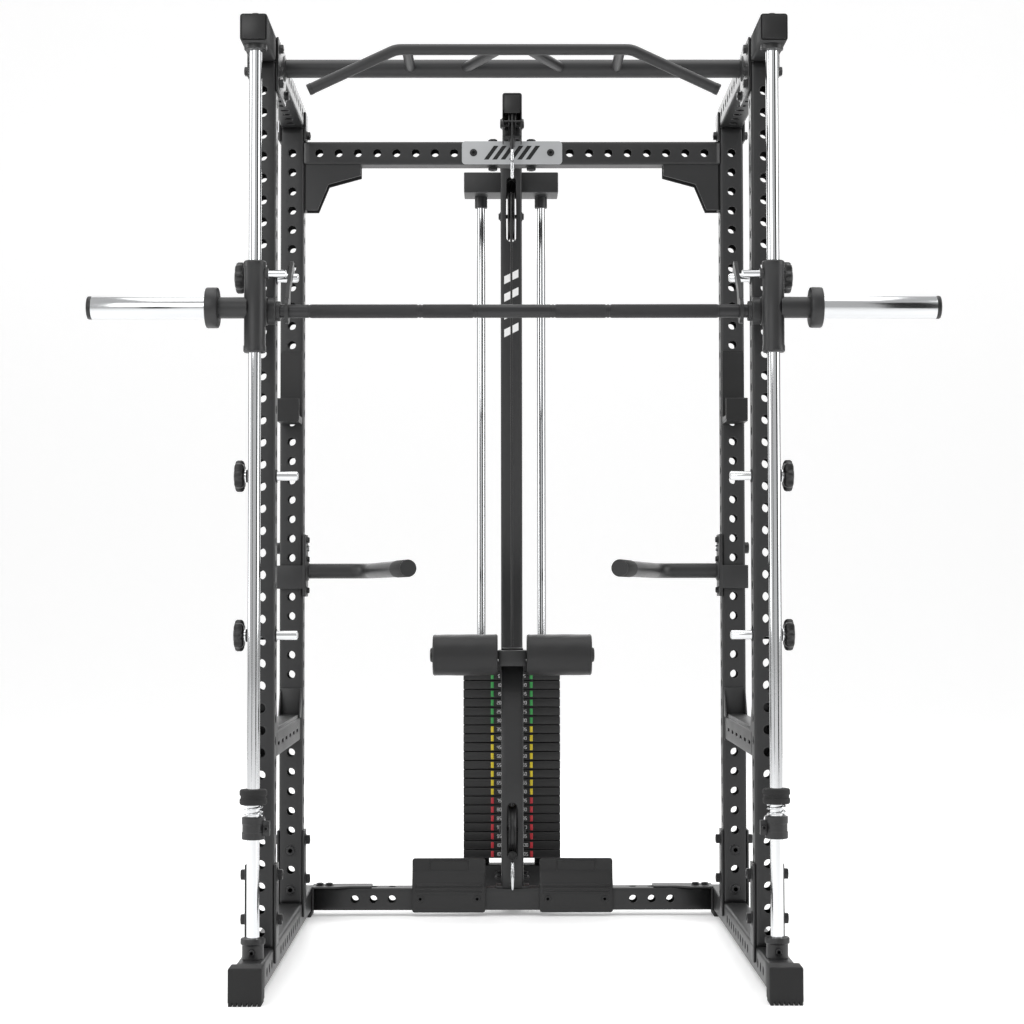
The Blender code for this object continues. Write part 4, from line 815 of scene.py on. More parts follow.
@dataclass
class TopBeams:
    """Side beams with saddles, rod flanges and end caps, the rear crossbeam and its emblem plate."""

    saddle_reach: float = 0.036
    emblem_bars: int = 6

    def build(self) -> None:
        """Build the beams and the plate."""
        for side, name in SIDES:
            self.side_beam(side, name)
        self.crossbeam()
        self.emblem()

    def side_beam(self, side: int, name: str) -> None:
        """Beam on two uprights, with the bolt and flange that hold the guide rod."""
        node = f"side_beam_{name}"
        low, high = corners(node)
        x = middle(f"upright_front_{name}")[0]
        front, rear = (middle(f"upright_{end}_{name}")[1] for end in ("front", "rear"))
        base = corners(f"upright_front_{name}")[1][2] + 0.0003
        start = low[1] + 0.005
        holes = ladder(front + 0.075, 12)
        tube = HoledTube(Axis.Y, (base + 0.030, x), start, high[1], holes={1: holes, 2: holes, 3: holes})
        tube.build(f"side_beam_tube_{name}", "frame")
        form = Form()
        for cap, way in ((start, -1), (high[1], 1)):
            inside = cap - way * 0.004
            reach = cap + (way * 0.0045 if way < 0 else 0.0)
            band_box(form, "plastic", (x - 0.0265, x + 0.0265), (inside, reach), (base + 0.0035, base + 0.0565), 0.002)
        for y in (front, rear):
            for face in (-1, 1):
                inner = x + face * 0.0303
                band_box(form, "powder", (inner, inner + face * 0.005), (y - 0.030, y + 0.030),
                         (base - self.saddle_reach, base + 0.040), 0.0014)
                bolt_head(form, Axis.X, (inner + face * 0.005, y, base - 0.017), face, 0.0112, 0.0095)
            band_box(form, "powder", (x - 0.030, x + 0.030), (y - 0.030, y + 0.030), (base - 0.002, base + 0.001))
        rod = middle(f"guide_rod_{name}")[1]
        flange = [(0.0148, -0.0118), (0.0235, -0.0118), (0.0250, -0.0100), (0.0250, 0.0005), (0.0148, 0.0005)]
        form.solid(lathe(flange, Axis.Z, (x, rod, base), 36), "powder")
        bolt_head(form, Axis.Z, (x, rod, base + 0.0600), 1, 0.0115, 0.0100)
        piece = form.build(f"side_beam_fittings_{name}", "frame", "powder_coat")
        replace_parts(piece, node)
        LOG.info("side beam %s on side %d", name, side)

    def crossbeam(self) -> None:
        """Rear crossbeam with rows of holes and a pair of gusset plates under each end."""
        low, high = corners("rear_top_crossbeam")
        y = middle("upright_rear_left")[1]
        top = high[2]
        holes = np.concatenate([-ladder(0.150, 8), ladder(0.150, 8)])
        tube = HoledTube(Axis.X, (y, top - 0.030), low[0], high[0], holes={0: holes, 2: holes})
        tube.build("crossbeam_tube", "frame")
        form = Form()
        end = high[0]
        under = top - 0.060
        profile = [(0, 0.004), (0.147, 0.004), (0.147, -0.028), (0.063, -0.051), (0.035, -0.118), (0, -0.118)]
        for side, _ in SIDES:
            for place in (y - 0.025, y + 0.020):
                gusset = [(under + z, side * (end - x)) for x, z in profile]
                form.solid(slab(gusset, Axis.Y, place, place + 0.005), "powder")
            band_box(form, "powder", (side * end, side * (end - 0.005)), (y - 0.025, y + 0.025),
                     (under - 0.118, under + 0.058))
            for z in (under - 0.045, under - 0.095):
                bolt_head(form, Axis.X, (side * (end - 0.005), y, z), -side, 0.0110, 0.0090)
            for level, way in ((under, -1), (top, 1)):
                bolt_head(form, Axis.Z, (side * 0.050, y, level), way, 0.0120, 0.0110)
        piece = form.build("crossbeam_gussets", "frame", "powder_coat", bevel=0.0009)
        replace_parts(piece, "rear_top_crossbeam")

    def emblem(self) -> None:
        """Silver plate with two screws and a row of slanted bars in a ring of their own."""
        low, high = corners("name_plate")
        z = (low[2] + high[2]) / 2
        outline = [(z + b, a) for a, b in rectangle(high[0] - low[0], high[2] - low[2], 0.009, 6)]
        form = Form()
        form.solid(slab(outline, Axis.Y, low[1] + 0.0006, high[1]), "silver")
        for place in np.linspace(-1, 1, self.emblem_bars):
            slant = [(-0.019, -0.018), (-0.007, -0.018), (0.019, 0.018), (0.007, 0.018)]
            bar = [(z + up, place * 0.054 + across) for across, up in slant]
            form.solid(slab(bar, Axis.Y, low[1] + 0.0001, low[1] + 0.0008), "rubber")
        for side, _ in SIDES:
            bolt_head(form, Axis.Y, (side * 0.100, low[1] + 0.0006, z), -1, 0.0075, 0.0050)
        piece = form.build("emblem_plate", "frame", "silver", bevel=0.0004)
        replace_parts(piece, "name_plate")


# ---------------------------------------------------------------- guided bar
@dataclass
class GuideRods:
    """Chrome rods with their clamps, coil springs and rubber bumpers."""

    rod_radius: float = 0.014
    clamp_radius: float = 0.025
    spring_wire: float = 0.0038
    spring_radius: float = 0.019
    turns: float = 2.5

    def build(self) -> None:
        """Build both rods."""
        for side, name in SIDES:
            self.rod(side, name)
            self.spring(name)
            self.bumper(name)

    def rod(self, side: int, name: str) -> None:
        """Rod with the split clamp, its ear and its screw."""
        node = f"guide_rod_{name}"
        low, high = corners(node)
        x = middle(f"upright_front_{name}")[0]
        y = middle(node)[1]
        spring_low = corners(f"bumper_spring_{name}")[0][2]
        form = Form()
        round_bar(form, "chrome", Axis.Z, (x, y, 0), self.rod_radius, (low[2], high[2]), 0.001, 56)
        bottom, top = spring_low - 0.0493, spring_low - 0.0005
        r = self.clamp_radius
        profile = [(0.0141, bottom), (r - 0.0015, bottom), (r, bottom + 0.0015), (r, bottom + 0.015),
                   (r - 0.0012, bottom + 0.0165), (r - 0.0012, top - 0.0165), (r, top - 0.015), (r, top - 0.0015),
                   (r - 0.0015, top), (0.0141, top)]
        form.solid(lathe(profile, Axis.Z, (x, y, 0), 48), "powder")
        ear = x - side * 0.022
        band_box(form, "powder", (ear, x - side * 0.036), (y - 0.011, y - 0.0015), (bottom + 0.008, top - 0.009))
        band_box(form, "powder", (ear, x - side * 0.036), (y + 0.0015, y + 0.011), (bottom + 0.008, top - 0.009))
        bolt_head(form, Axis.Y, (x - side * 0.029, y - 0.011, (bottom + top) / 2), -1, 0.0055, 0.0065)
        piece = form.build(f"chrome_rod_{name}", "frame", "chrome")
        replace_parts(piece, node)

    def spring(self, name: str) -> None:
        """Coil spring: a circle carried along a helix whose ends lie flat."""
        node = f"bumper_spring_{name}"
        low, high = corners(node)
        centre = middle(f"guide_rod_{name}")
        x = middle(f"upright_front_{name}")[0]
        share = np.linspace(0, 1, 161)
        turn = 2 * math.pi * self.turns * share
        rise = np.clip((share - 0.12) / 0.76, 0, 1)
        margin = self.spring_wire / 2
        path = np.stack([x + self.spring_radius * np.cos(turn), centre[1] + self.spring_radius * np.sin(turn),
                         low[2] + margin + (high[2] - low[2] - 2 * margin) * rise], axis=-1)
        form = Form()
        form.solid(swept(path, self.spring_wire / 2, (0, 0, 1), 12), "chrome")
        piece = form.build(f"coil_spring_{name}", f"bumper_body_{name}", "chrome")
        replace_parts(piece, node)

    @staticmethod
    def bumper(name: str) -> None:
        """Rubber bumper with a grooved waist."""
        node = f"bumper_{name}"
        low, high = corners(node)
        x = middle(f"upright_front_{name}")[0]
        y = middle(node)[1]
        r = (high[0] - low[0]) / 2
        tall = high[2] - low[2]
        step = np.linspace(0, math.pi / 2, 5)
        upper = [(r - 0.005 + 0.005 * math.cos(a), tall - 0.005 + 0.005 * math.sin(a)) for a in step]
        lower = [(r - 0.005 + 0.005 * math.sin(a), 0.005 - 0.005 * math.cos(a)) for a in step]
        waist = [(r, 0.012), (r - 0.0022, 0.0145), (r - 0.0022, 0.0195), (r, 0.022)]
        profile = [(0.0150, 0.0), *lower, *waist, *upper, (0.0150, tall)]
        form = Form()
        form.solid(lathe(profile, Axis.Z, (x, y, low[2]), 48), "rubber")
        piece = form.build(f"rubber_bumper_{name}", f"bumper_body_{name}", "rubber")
        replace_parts(piece, node)


@dataclass
class GuidedBar:
    """Carriages with their load sleeves, and the bar with its hubs, knurling and catch hooks."""

    bar_radius: float = 0.015
    sleeve_radius: float = 0.025
    collar_radius: float = 0.045
    hook_thick: float = 0.008
    hook_band: float = 0.024

    def build(self) -> None:
        """Build the carriages and the bar."""
        for side, name in SIDES:
            self.carriage(side, name)
        self.bar()

    def carriage(self, side: int, name: str) -> None:
        """Slider, stub, collar, chrome load sleeve, bearing housing and stop pin."""
        node = f"carriage_{name}"
        low, high = corners(node)
        x = middle(f"upright_front_{name}")[0]
        y = middle(f"guide_rod_{name}")[1]
        z = high[2] - 0.103
        bar_y = high[1] - 0.032
        form = Form()
        ends = [(0.0152, low[2]), (0.0225, low[2]), (0.0250, low[2] + 0.003), (0.0250, low[2] + 0.014),
                (0.0238, low[2] + 0.016), (0.0238, high[2] - 0.016), (0.0250, high[2] - 0.014),
                (0.0250, high[2] - 0.003), (0.0225, high[2]), (0.0152, high[2])]
        form.solid(lathe(ends, Axis.Z, (x, y, 0), 48), "powder")
        for level, way in ((low[2], -1), (high[2], 1)):
            wiper = [(0.0143, 0.0), (0.0190, 0.0), (0.0180, way * 0.0025), (0.0143, way * 0.0025)]
            form.solid(lathe(wiper, Axis.Z, (x, y, level - way * 0.0024), 36), "plastic")
        line = (0.0, y, z)
        out = [side * (abs(x) + step) for step in (0.016, 0.0790, 0.1070, 0.3585, 0.3675)]
        stub = [(0.0235, out[0]), (0.0235, out[1])]
        form.solid(lathe(stub, Axis.X, line, 44), "powder")
        r = self.collar_radius
        edge = side * 0.004
        collar = [(0.024, out[1]), (r - 0.004, out[1]), (r - 0.0012, out[1] + edge * 0.3), (r, out[1] + edge),
                  (r, out[2] - edge), (r - 0.0012, out[2] - edge * 0.3), (r - 0.004, out[2]), (0.024, out[2])]
        form.solid(lathe(collar, Axis.X, line, 56), "powder")
        ring = [(0.0278, out[2]), (0.0278, out[2] + side * 0.0022), (0.0252, out[2] + side * 0.0022)]
        form.solid(lathe(ring, Axis.X, line, 44), "chrome")
        r = self.sleeve_radius
        sleeve = [(r, out[2] - edge), (r, out[3] - side * 0.0012), (r - 0.0008, out[3])]
        form.solid(lathe(sleeve, Axis.X, line, 56), "worn_chrome")
        cap = [(r + 0.0006, out[3]), (r + 0.0006, out[4] - side * 0.0035), (r - 0.0008, out[4] - side * 0.0010),
               (r - 0.0035, out[4]), (0.009, out[4]), (0.0085, out[4] - side * 0.0012)]
        form.solid(lathe(cap, Axis.X, line, 48), "plastic")
        self.bearing(form, x, y, bar_y, z)
        stop = z + 0.075
        inner = x - side * 0.069
        tip = [(0.0085, x - side * 0.018), (0.0085, inner + side * 0.0015), (0.0070, inner)]
        form.solid(lathe(tip, Axis.X, (0, y, stop), 28), "chrome")
        nut = [(0.0125, x - side * 0.022), (0.0125, x - side * 0.030)]
        form.solid(lathe(nut, Axis.X, (0, y, stop), 24, hexagon), "zinc")
        piece = form.build(f"slider_{name}", "carriages", "powder_coat")
        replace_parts(piece, node)

    @staticmethod
    def bearing(form: Form, x: float, rod_y: float, bar_y: float, z: float) -> None:
        """Add the round housing that the bar turns in, its web to the slider and its screws."""
        half = 0.022
        ring = [(0.0158, x - half), (0.0300, x - half), (0.0320, x - half + 0.002), (0.0320, x + half - 0.002),
                (0.0300, x + half), (0.0158, x + half)]
        form.solid(lathe(ring, Axis.X, (0, bar_y, z), 52), "powder")
        band_box(form, "powder", (x - 0.0135, x + 0.0135), (rod_y + 0.018, bar_y - 0.020), (z - 0.026, z + 0.026),
                 0.003, 3)
        for turn in np.arange(4) * math.pi / 2 + math.pi / 4:
            place = (x + math.copysign(half, x), bar_y + 0.0235 * math.cos(turn), z + 0.0235 * math.sin(turn))
            bolt_head(form, Axis.X, place, int(math.copysign(1, x)), 0.0042, 0.0038)

    def hook(self, centre: Array, pin: Array) -> list[tuple[float, float]]:
        """Outline around the bar and out past the catch pin, radial and tangential to the bar's axis."""
        over, up = pin - centre
        reach, turn = math.hypot(over, up), math.atan2(up, over)
        clear = 0.0103
        tail, hub, band = reach + clear, 0.028, self.hook_band
        bulge = np.linspace(math.pi / 2, -0.15, 7)
        nose = [(tail + band * 0.1 + band * 0.6 * math.cos(a), clear + band * (0.2 + 0.8 * math.sin(a)))
                for a in bulge]
        local = [(hub * 0.55, hub * 0.8), (hub * 1.8, clear + band), *nose, (tail + band * 0.7, -clear * 0.9),
                 (tail + band * 0.1, -clear * 1.3), (tail, -clear * 1.1), (tail, clear), (hub * 2.2, clear),
                 (hub * 1.1, -hub * 0.6)]
        sweep = np.radians(np.linspace(-40, -305, 24))
        local += [(hub * math.cos(a), hub * math.sin(a)) for a in sweep]
        return [(centre[0] + a * math.cos(turn) - b * math.sin(turn),
                 centre[1] + a * math.sin(turn) + b * math.cos(turn)) for a, b in local]

    def bar(self) -> None:
        """Bar with two knurled stretches, ring marks, stepped hubs and hook plates."""
        _, high = corners("guided_bar")
        bearing = corners("carriage_left")
        y, z = bearing[1][1] - 0.032, bearing[1][2] - 0.103
        end = high[0]
        r = self.bar_radius
        form = Form()
        marks = (0.082, 0.090, 0.205, 0.213, 0.455)
        profile = [(r - 0.001, -end), (r, 0.001 - end)]
        for mark in sorted([side * m for side, _ in SIDES for m in marks]):
            profile += [(r, mark - 0.0016), (r - 0.0008, mark - 0.0012), (r - 0.0008, mark + 0.0012),
                        (r, mark + 0.0016)]
        profile += [(r, end - 0.001), (r - 0.001, end)]
        form.solid(lathe(profile, Axis.X, (0, y, z), 48), "bar_black")
        for side, _ in SIDES:
            for start, stop in ((0.093, 0.202), (0.216, 0.452)):
                span = sorted((side * start, side * stop))
                grip = [(r, span[0]), (r + 0.0004, span[0] + 0.001), (r + 0.0004, span[1] - 0.001), (r, span[1])]
                form.sheet(lathe(grip, Axis.X, (0, y, z), 48), "knurl", wrap_columns=True)
            hub = side * 0.547
            step = -side
            hub_profile = [(0.0155, hub), (0.0290, hub), (0.0300, hub + step * 0.001), (0.0300, hub + step * 0.016),
                           (0.0285, hub + step * 0.018), (0.0225, hub + step * 0.0185), (0.0220, hub + step * 0.027),
                           (0.0155, hub + step * 0.027)]
            form.solid(lathe(hub_profile, Axis.X, (0, y, z), 48), "powder")
            pin = middle(f"catch_pin_top_{'left' if side < 0 else 'right'}")
            outline = self.hook(np.array([y, z]), np.array([pin[1], pin[2]]))
            plate = side * 0.505
            form.solid(slab(outline, Axis.X, plate - self.hook_thick / 2, plate + self.hook_thick / 2), "powder")
        piece = form.build("knurled_bar", "bar", "powder_coat", bevel=0.0008)
        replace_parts(piece, "guided_bar")


@dataclass
class CatchPins:
    """Chrome catch pins with fluted hand knobs."""

    levels: tuple[str, ...] = ("top", "middle", "low")
    lobes: int = 8

    def build(self) -> None:
        """Build every pin with its knob."""
        for side, name in SIDES:
            for level in self.levels:
                self.pin(side, f"catch_pin_{level}_{name}")

    def flutes(self, angles: Array) -> Array:
        """Factor on the knob's radius: 0.93 + 0.07 of a wave with one crest a lobe."""
        return 0.925 + 0.075 * np.cos(self.lobes * angles)

    def pin(self, side: int, node: str) -> None:
        """Pin, ring nut, and knob with a crowned face and a centre cap."""
        low, high = corners(node)
        centre = middle(node)
        line = (0.0, centre[1], centre[2])
        inner, outer = (high[0], low[0]) if side < 0 else (low[0], high[0])
        form = Form()
        face = outer - side * 0.024
        shank = [(0.0065, inner), (0.0088, inner + side * 0.0012), (0.0100, inner + side * 0.0035), (0.0100, face)]
        form.solid(lathe(shank, Axis.X, line, 36), "chrome")
        wall = side * 0.6003
        ring = [(0.0110, wall), (0.0165, wall), (0.0165, wall + side * 0.006), (0.0150, wall + side * 0.007),
                (0.0120, wall + side * 0.0072)]
        form.solid(lathe(ring, Axis.X, line, 24, hexagon), "zinc")
        neck = [(0.0150, wall + side * 0.0072), (0.0150, face + side * 0.001)]
        form.solid(lathe(neck, Axis.X, line, 32), "chrome")
        r = 0.036
        knob = [(0.0200, face), (0.0290, face + side * 0.0005), (r - 0.0022, face + side * 0.0030),
                (r, face + side * 0.0070), (r, face + side * 0.0160), (r - 0.0022, face + side * 0.0200),
                (0.0280, face + side * 0.0220), (0.0205, face + side * 0.0225)]
        form.solid(lathe(knob, Axis.X, line, 96, self.flutes), "plastic")
        cap = [(0.0180, face + side * 0.0210), (0.0175, face + side * 0.0232), (0.0140, outer), (0.0060, outer)]
        form.solid(lathe(cap, Axis.X, line, 32), "plastic")
        washer = side * 0.5396
        bush = [(0.0104, washer), (0.0150, washer), (0.0150, washer - side * 0.0022), (0.0104, washer - side * 0.0022)]
        plate = Form()
        plate.solid(lathe(bush, Axis.X, line, 30), "zinc")
        plate.build(f"{node}_bush", "frame", "powder_coat")
        body = f"{node}_body"
        piece = form.build(f"{node}_knob", body, "chrome")
        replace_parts(piece, node)


# ---------------------------------------------------------------- pull-up bar, holders, handles and arms
@dataclass
class PullUpBar:
    """Crossbar with a bent front grip bar, four joining grips and side plates."""

    bar_radius: float = 0.021
    grip_radius: float = 0.0125
    end_drop: float = 0.092
    half_straight: float = 0.265
    half_width: float = 0.462

    def build(self) -> None:
        """Build the pull-up bar."""
        _, high = corners("pull_up_bar")
        upright = middle("upright_front_left")
        y, front = upright[1] + 0.100, upright[1] - 0.079
        beam = corners("upright_front_left")[1][2] + 0.0003
        z = beam + 0.014
        end = high[0] - 0.0005
        form = Form()
        form.solid(lathe([(self.bar_radius, -end), (self.bar_radius, end)], Axis.X, (0, y, z), 48), "powder")
        route = [(-self.half_width, front, z - self.end_drop), (-self.half_straight, front, z),
                 (self.half_straight, front, z), (self.half_width, front, z - self.end_drop)]
        form.solid(swept(bent(route, 0.055, 14), self.grip_radius, (0, 1, 0), 28), "powder")
        for side, _ in SIDES:
            lean = np.array([self.half_width - self.half_straight, 0, -self.end_drop])
            lean /= np.linalg.norm(lean)
            tip = np.array([self.half_width, front, z - self.end_drop])
            cap = np.stack([tip - lean * 0.010, tip - lean * 0.002, tip + lean * 0.0005]) * (side, 1, 1)
            form.solid(swept(cap, np.array([0.0131, 0.0131, 0.0110]), (0, 1, 0), 28), "plastic")
            for start, finish_x in ((0.240, 0.240), (0.035, 0.115)):
                grip = np.linspace((side * start, front, z), (side * finish_x, y, z), 9)
                form.solid(swept(grip, self.grip_radius - 0.0006, (0, 0, 1), 24), "powder")
            band_box(form, "powder", (side * end, side * (end - 0.005)), (upright[1] - 0.030, y + 0.041),
                     (beam - 0.067, beam + 0.056), 0.0016)
            flange = [(0.0300, side * (end - 0.0045)), (0.0290, side * (end - 0.0075)), (0.0212, side * (end - 0.011))]
            form.solid(lathe(flange, Axis.X, (0, y, z), 44), "powder")
            for place in ((upright[1], beam - 0.045), (y + 0.026, beam - 0.045), (upright[1], beam + 0.035)):
                bolt_head(form, Axis.X, (side * (end - 0.005), *place), -side, 0.0105, 0.0090)
        piece = form.build("grip_bars", "frame", "powder_coat")
        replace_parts(piece, "pull_up_bar")


@dataclass
class HungPieces:
    """Bar holders, dip handles and safety arms that hang on the uprights."""

    holder_width: float = 0.054
    dip_radius: float = 0.0195
    arm_slots: int = 6

    def build(self) -> None:
        """Build the pairs."""
        for side, name in SIDES:
            self.holder(name)
            self.dip_handle(side, name)
            self.safety_arm(side, name)

    def holder(self, name: str) -> None:
        """J-shaped holder: a steel strap bent round a thick plastic liner, with two pegs."""
        node = f"bar_holder_{name}"
        low, high = corners(node)
        x = middle(node)[0]
        face = corners(f"upright_rear_{name}")[0][1] - 0.0003
        shelf, wide = low[2], self.holder_width / 2
        lip = low[1]
        form = Form()
        strap = [(shelf, face), (high[2], face), (high[2], face - 0.0045), (shelf + 0.0050, face - 0.0045),
                 (shelf + 0.0050, lip + 0.0045), (shelf + 0.058, lip + 0.0045), (shelf + 0.058, lip), (shelf, lip)]
        outline = [(a, b) for b, a in strap]
        form.solid(slab(outline, Axis.X, x - wide, x + wide), "plastic")
        liner = [(face - 0.0045, high[2] - 0.006), (face - 0.0095, high[2] - 0.006), (face - 0.0095, shelf + 0.020),
                 (face - 0.0150, shelf + 0.016), (lip + 0.0150, shelf + 0.016), (lip + 0.0100, shelf + 0.020),
                 (lip + 0.0100, shelf + 0.060), (lip + 0.0045, shelf + 0.060), (lip + 0.0045, shelf + 0.005),
                 (face - 0.0045, shelf + 0.005)]
        form.solid(slab(liner, Axis.X, x - wide - 0.001, x + wide + 0.001), "plastic")
        for z in (1.360, 1.460):
            round_bar(form, "zinc", Axis.Y, (x, 0, z), 0.009, (face, face + 0.0325), 0.001, 28)
        piece = form.build(f"lined_holder_{name}", "frame", "plastic", bevel=0.0012)
        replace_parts(piece, node)

    def dip_handle(self, side: int, name: str) -> None:
        """Bent tube with a rubber grip, on a bolted plate with a locking pin."""
        node = f"dip_handle_{name}"
        low, _ = corners(node)
        rear = middle(f"upright_rear_{name}")[1]
        face = 0.5397
        z = low[2] + 0.066
        root = [(side * (face - 0.005), rear - 0.010, z), (side * 0.370, rear - 0.010, z),
                (side * 0.245, rear - 0.593, z)]
        path = bent(root, 0.060, 16)
        form = Form()
        form.solid(swept(path, self.dip_radius, (0, 0, 1), 40), "powder")
        run = path[-1] - path[-2]
        run /= np.linalg.norm(run)
        steps = np.array([-0.150, -0.149, -0.146, -0.006, -0.002, -0.0002])
        widths = np.array([0.0197, 0.0203, 0.0205, 0.0205, 0.0190, 0.0150])
        form.solid(swept(path[-1] + steps[:, None] * run, widths, (0, 0, 1), 44), "rubber")
        band_box(form, "powder", (side * face, side * (face - 0.008)), (rear - 0.045, rear + 0.032),
                 (z - 0.066, z + 0.094), 0.002, 3)
        ring = [(0.0275, side * (face - 0.008)), (0.0260, side * (face - 0.0115)), (0.0200, side * (face - 0.0145))]
        form.solid(lathe(ring, Axis.X, (0, rear - 0.010, z), 40), "powder")
        front = rear - 0.0303
        band_box(form, "powder", (side * (face - 0.008), side * 0.606), (front - 0.014, front), (z - 0.046, z + 0.014),
                 0.002, 3)
        pin_z = z + 0.059
        span = sorted((side * (face - 0.014), side * 0.6003))
        round_bar(form, "chrome", Axis.X, (0, rear, pin_z), 0.009, span, 0.001, 28)
        knob = [(0.010, side * 0.6003), (0.0150, side * 0.6012), (0.0150, side * 0.6108), (0.012, side * 0.6123)]
        form.solid(lathe(knob, Axis.X, (0, rear, pin_z), 32), "plastic")
        for place in (-0.050, 0.030, 0.080):
            bolt_head(form, Axis.X, (side * (face - 0.008), rear - 0.010, z + place), -side, 0.0085, 0.0070)
        piece = form.build(f"dip_tube_{name}", "frame", "powder_coat")
        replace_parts(piece, node)

    def safety_arm(self, side: int, name: str) -> None:
        """Slotted rectangular tube with a top liner, end brackets and pegs."""
        node = f"safety_arm_{name}"
        low, _ = corners(node)
        x = middle(f"upright_front_{name}")[0]
        front = middle(f"upright_front_{name}")[1] + 0.0303
        rear = middle(f"upright_rear_{name}")[1] - 0.0303
        bottom = low[2] + 0.003
        centre = (bottom + 0.030, x)
        spots = front + (rear - front) * (np.arange(self.arm_slots) + 1) / (self.arm_slots + 1)
        tube = HoledTube(Axis.Y, centre, front + 0.001, rear - 0.001, width=0.060, height=0.050,
                         holes={1: spots, 3: spots}, pitch=0.060, radius=0.0045, slot=0.032)
        tube.build(f"safety_tube_{name}", "frame")
        form = Form()
        top = bottom + 0.0602
        band_box(form, "plastic", (x - 0.023, x + 0.023), (front + 0.010, rear - 0.010), (top - 0.0005, top + 0.0075),
                 0.002, 3)
        for end, way in ((front, 1), (rear, -1)):
            band_box(form, "powder", (x - 0.027, x + 0.027), (end, end + way * 0.006), (low[2], low[2] + 0.136), 0.0014)
            for place in (-1, 1):
                cheek = x + place * 0.0262
                wedge = [(low[2] + 0.062, end + way * 0.006), (low[2] + 0.134, end + way * 0.006),
                         (low[2] + 0.062, end + way * 0.050)]
                form.solid(slab([(b, a) for a, b in wedge], Axis.X, cheek - 0.0018, cheek + 0.0018), "powder")
            round_bar(form, "zinc", Axis.Y, (x, 0, 0.610), 0.009, (end, end - way * 0.029), 0.001, 28)
        piece = form.build(f"safety_fittings_{name}", "frame", "powder_coat", bevel=0.0008)
        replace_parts(piece, node)
        LOG.info("safety arm %s on side %d", name, side)


# ---------------------------------------------------------------- weight tower
DIGIT_BARS = {"0": "abcdef", "1": "bc", "2": "abged", "3": "abgcd", "4": "fgbc", "5": "afgcd", "6": "afgedc",
              "7": "abc", "8": "abcdefg", "9": "abfgcd"}
BAR_PLACES = {"a": (0.0, 1.0, True), "b": (0.5, 0.5, False), "c": (0.5, -0.5, False), "d": (0.0, -1.0, True),
              "e": (-0.5, -0.5, False), "f": (-0.5, 0.5, False), "g": (0.0, 0.0, True)}


class TagColour(Enum):
    """Colour band of a weight plate's tag, with how many plates from the top wear it."""

    LIGHT = ("green", 6)
    MIDDLE = ("yellow", 8)
    HEAVY = ("red", 7)

    @classmethod
    def at(cls, number: int) -> str:
        """Finish of the tag on a plate counted from the top."""
        for band in cls:
            if number < band.value[1]:
                return band.value[0]
            number -= band.value[1]
        return cls.HEAVY.value[0]


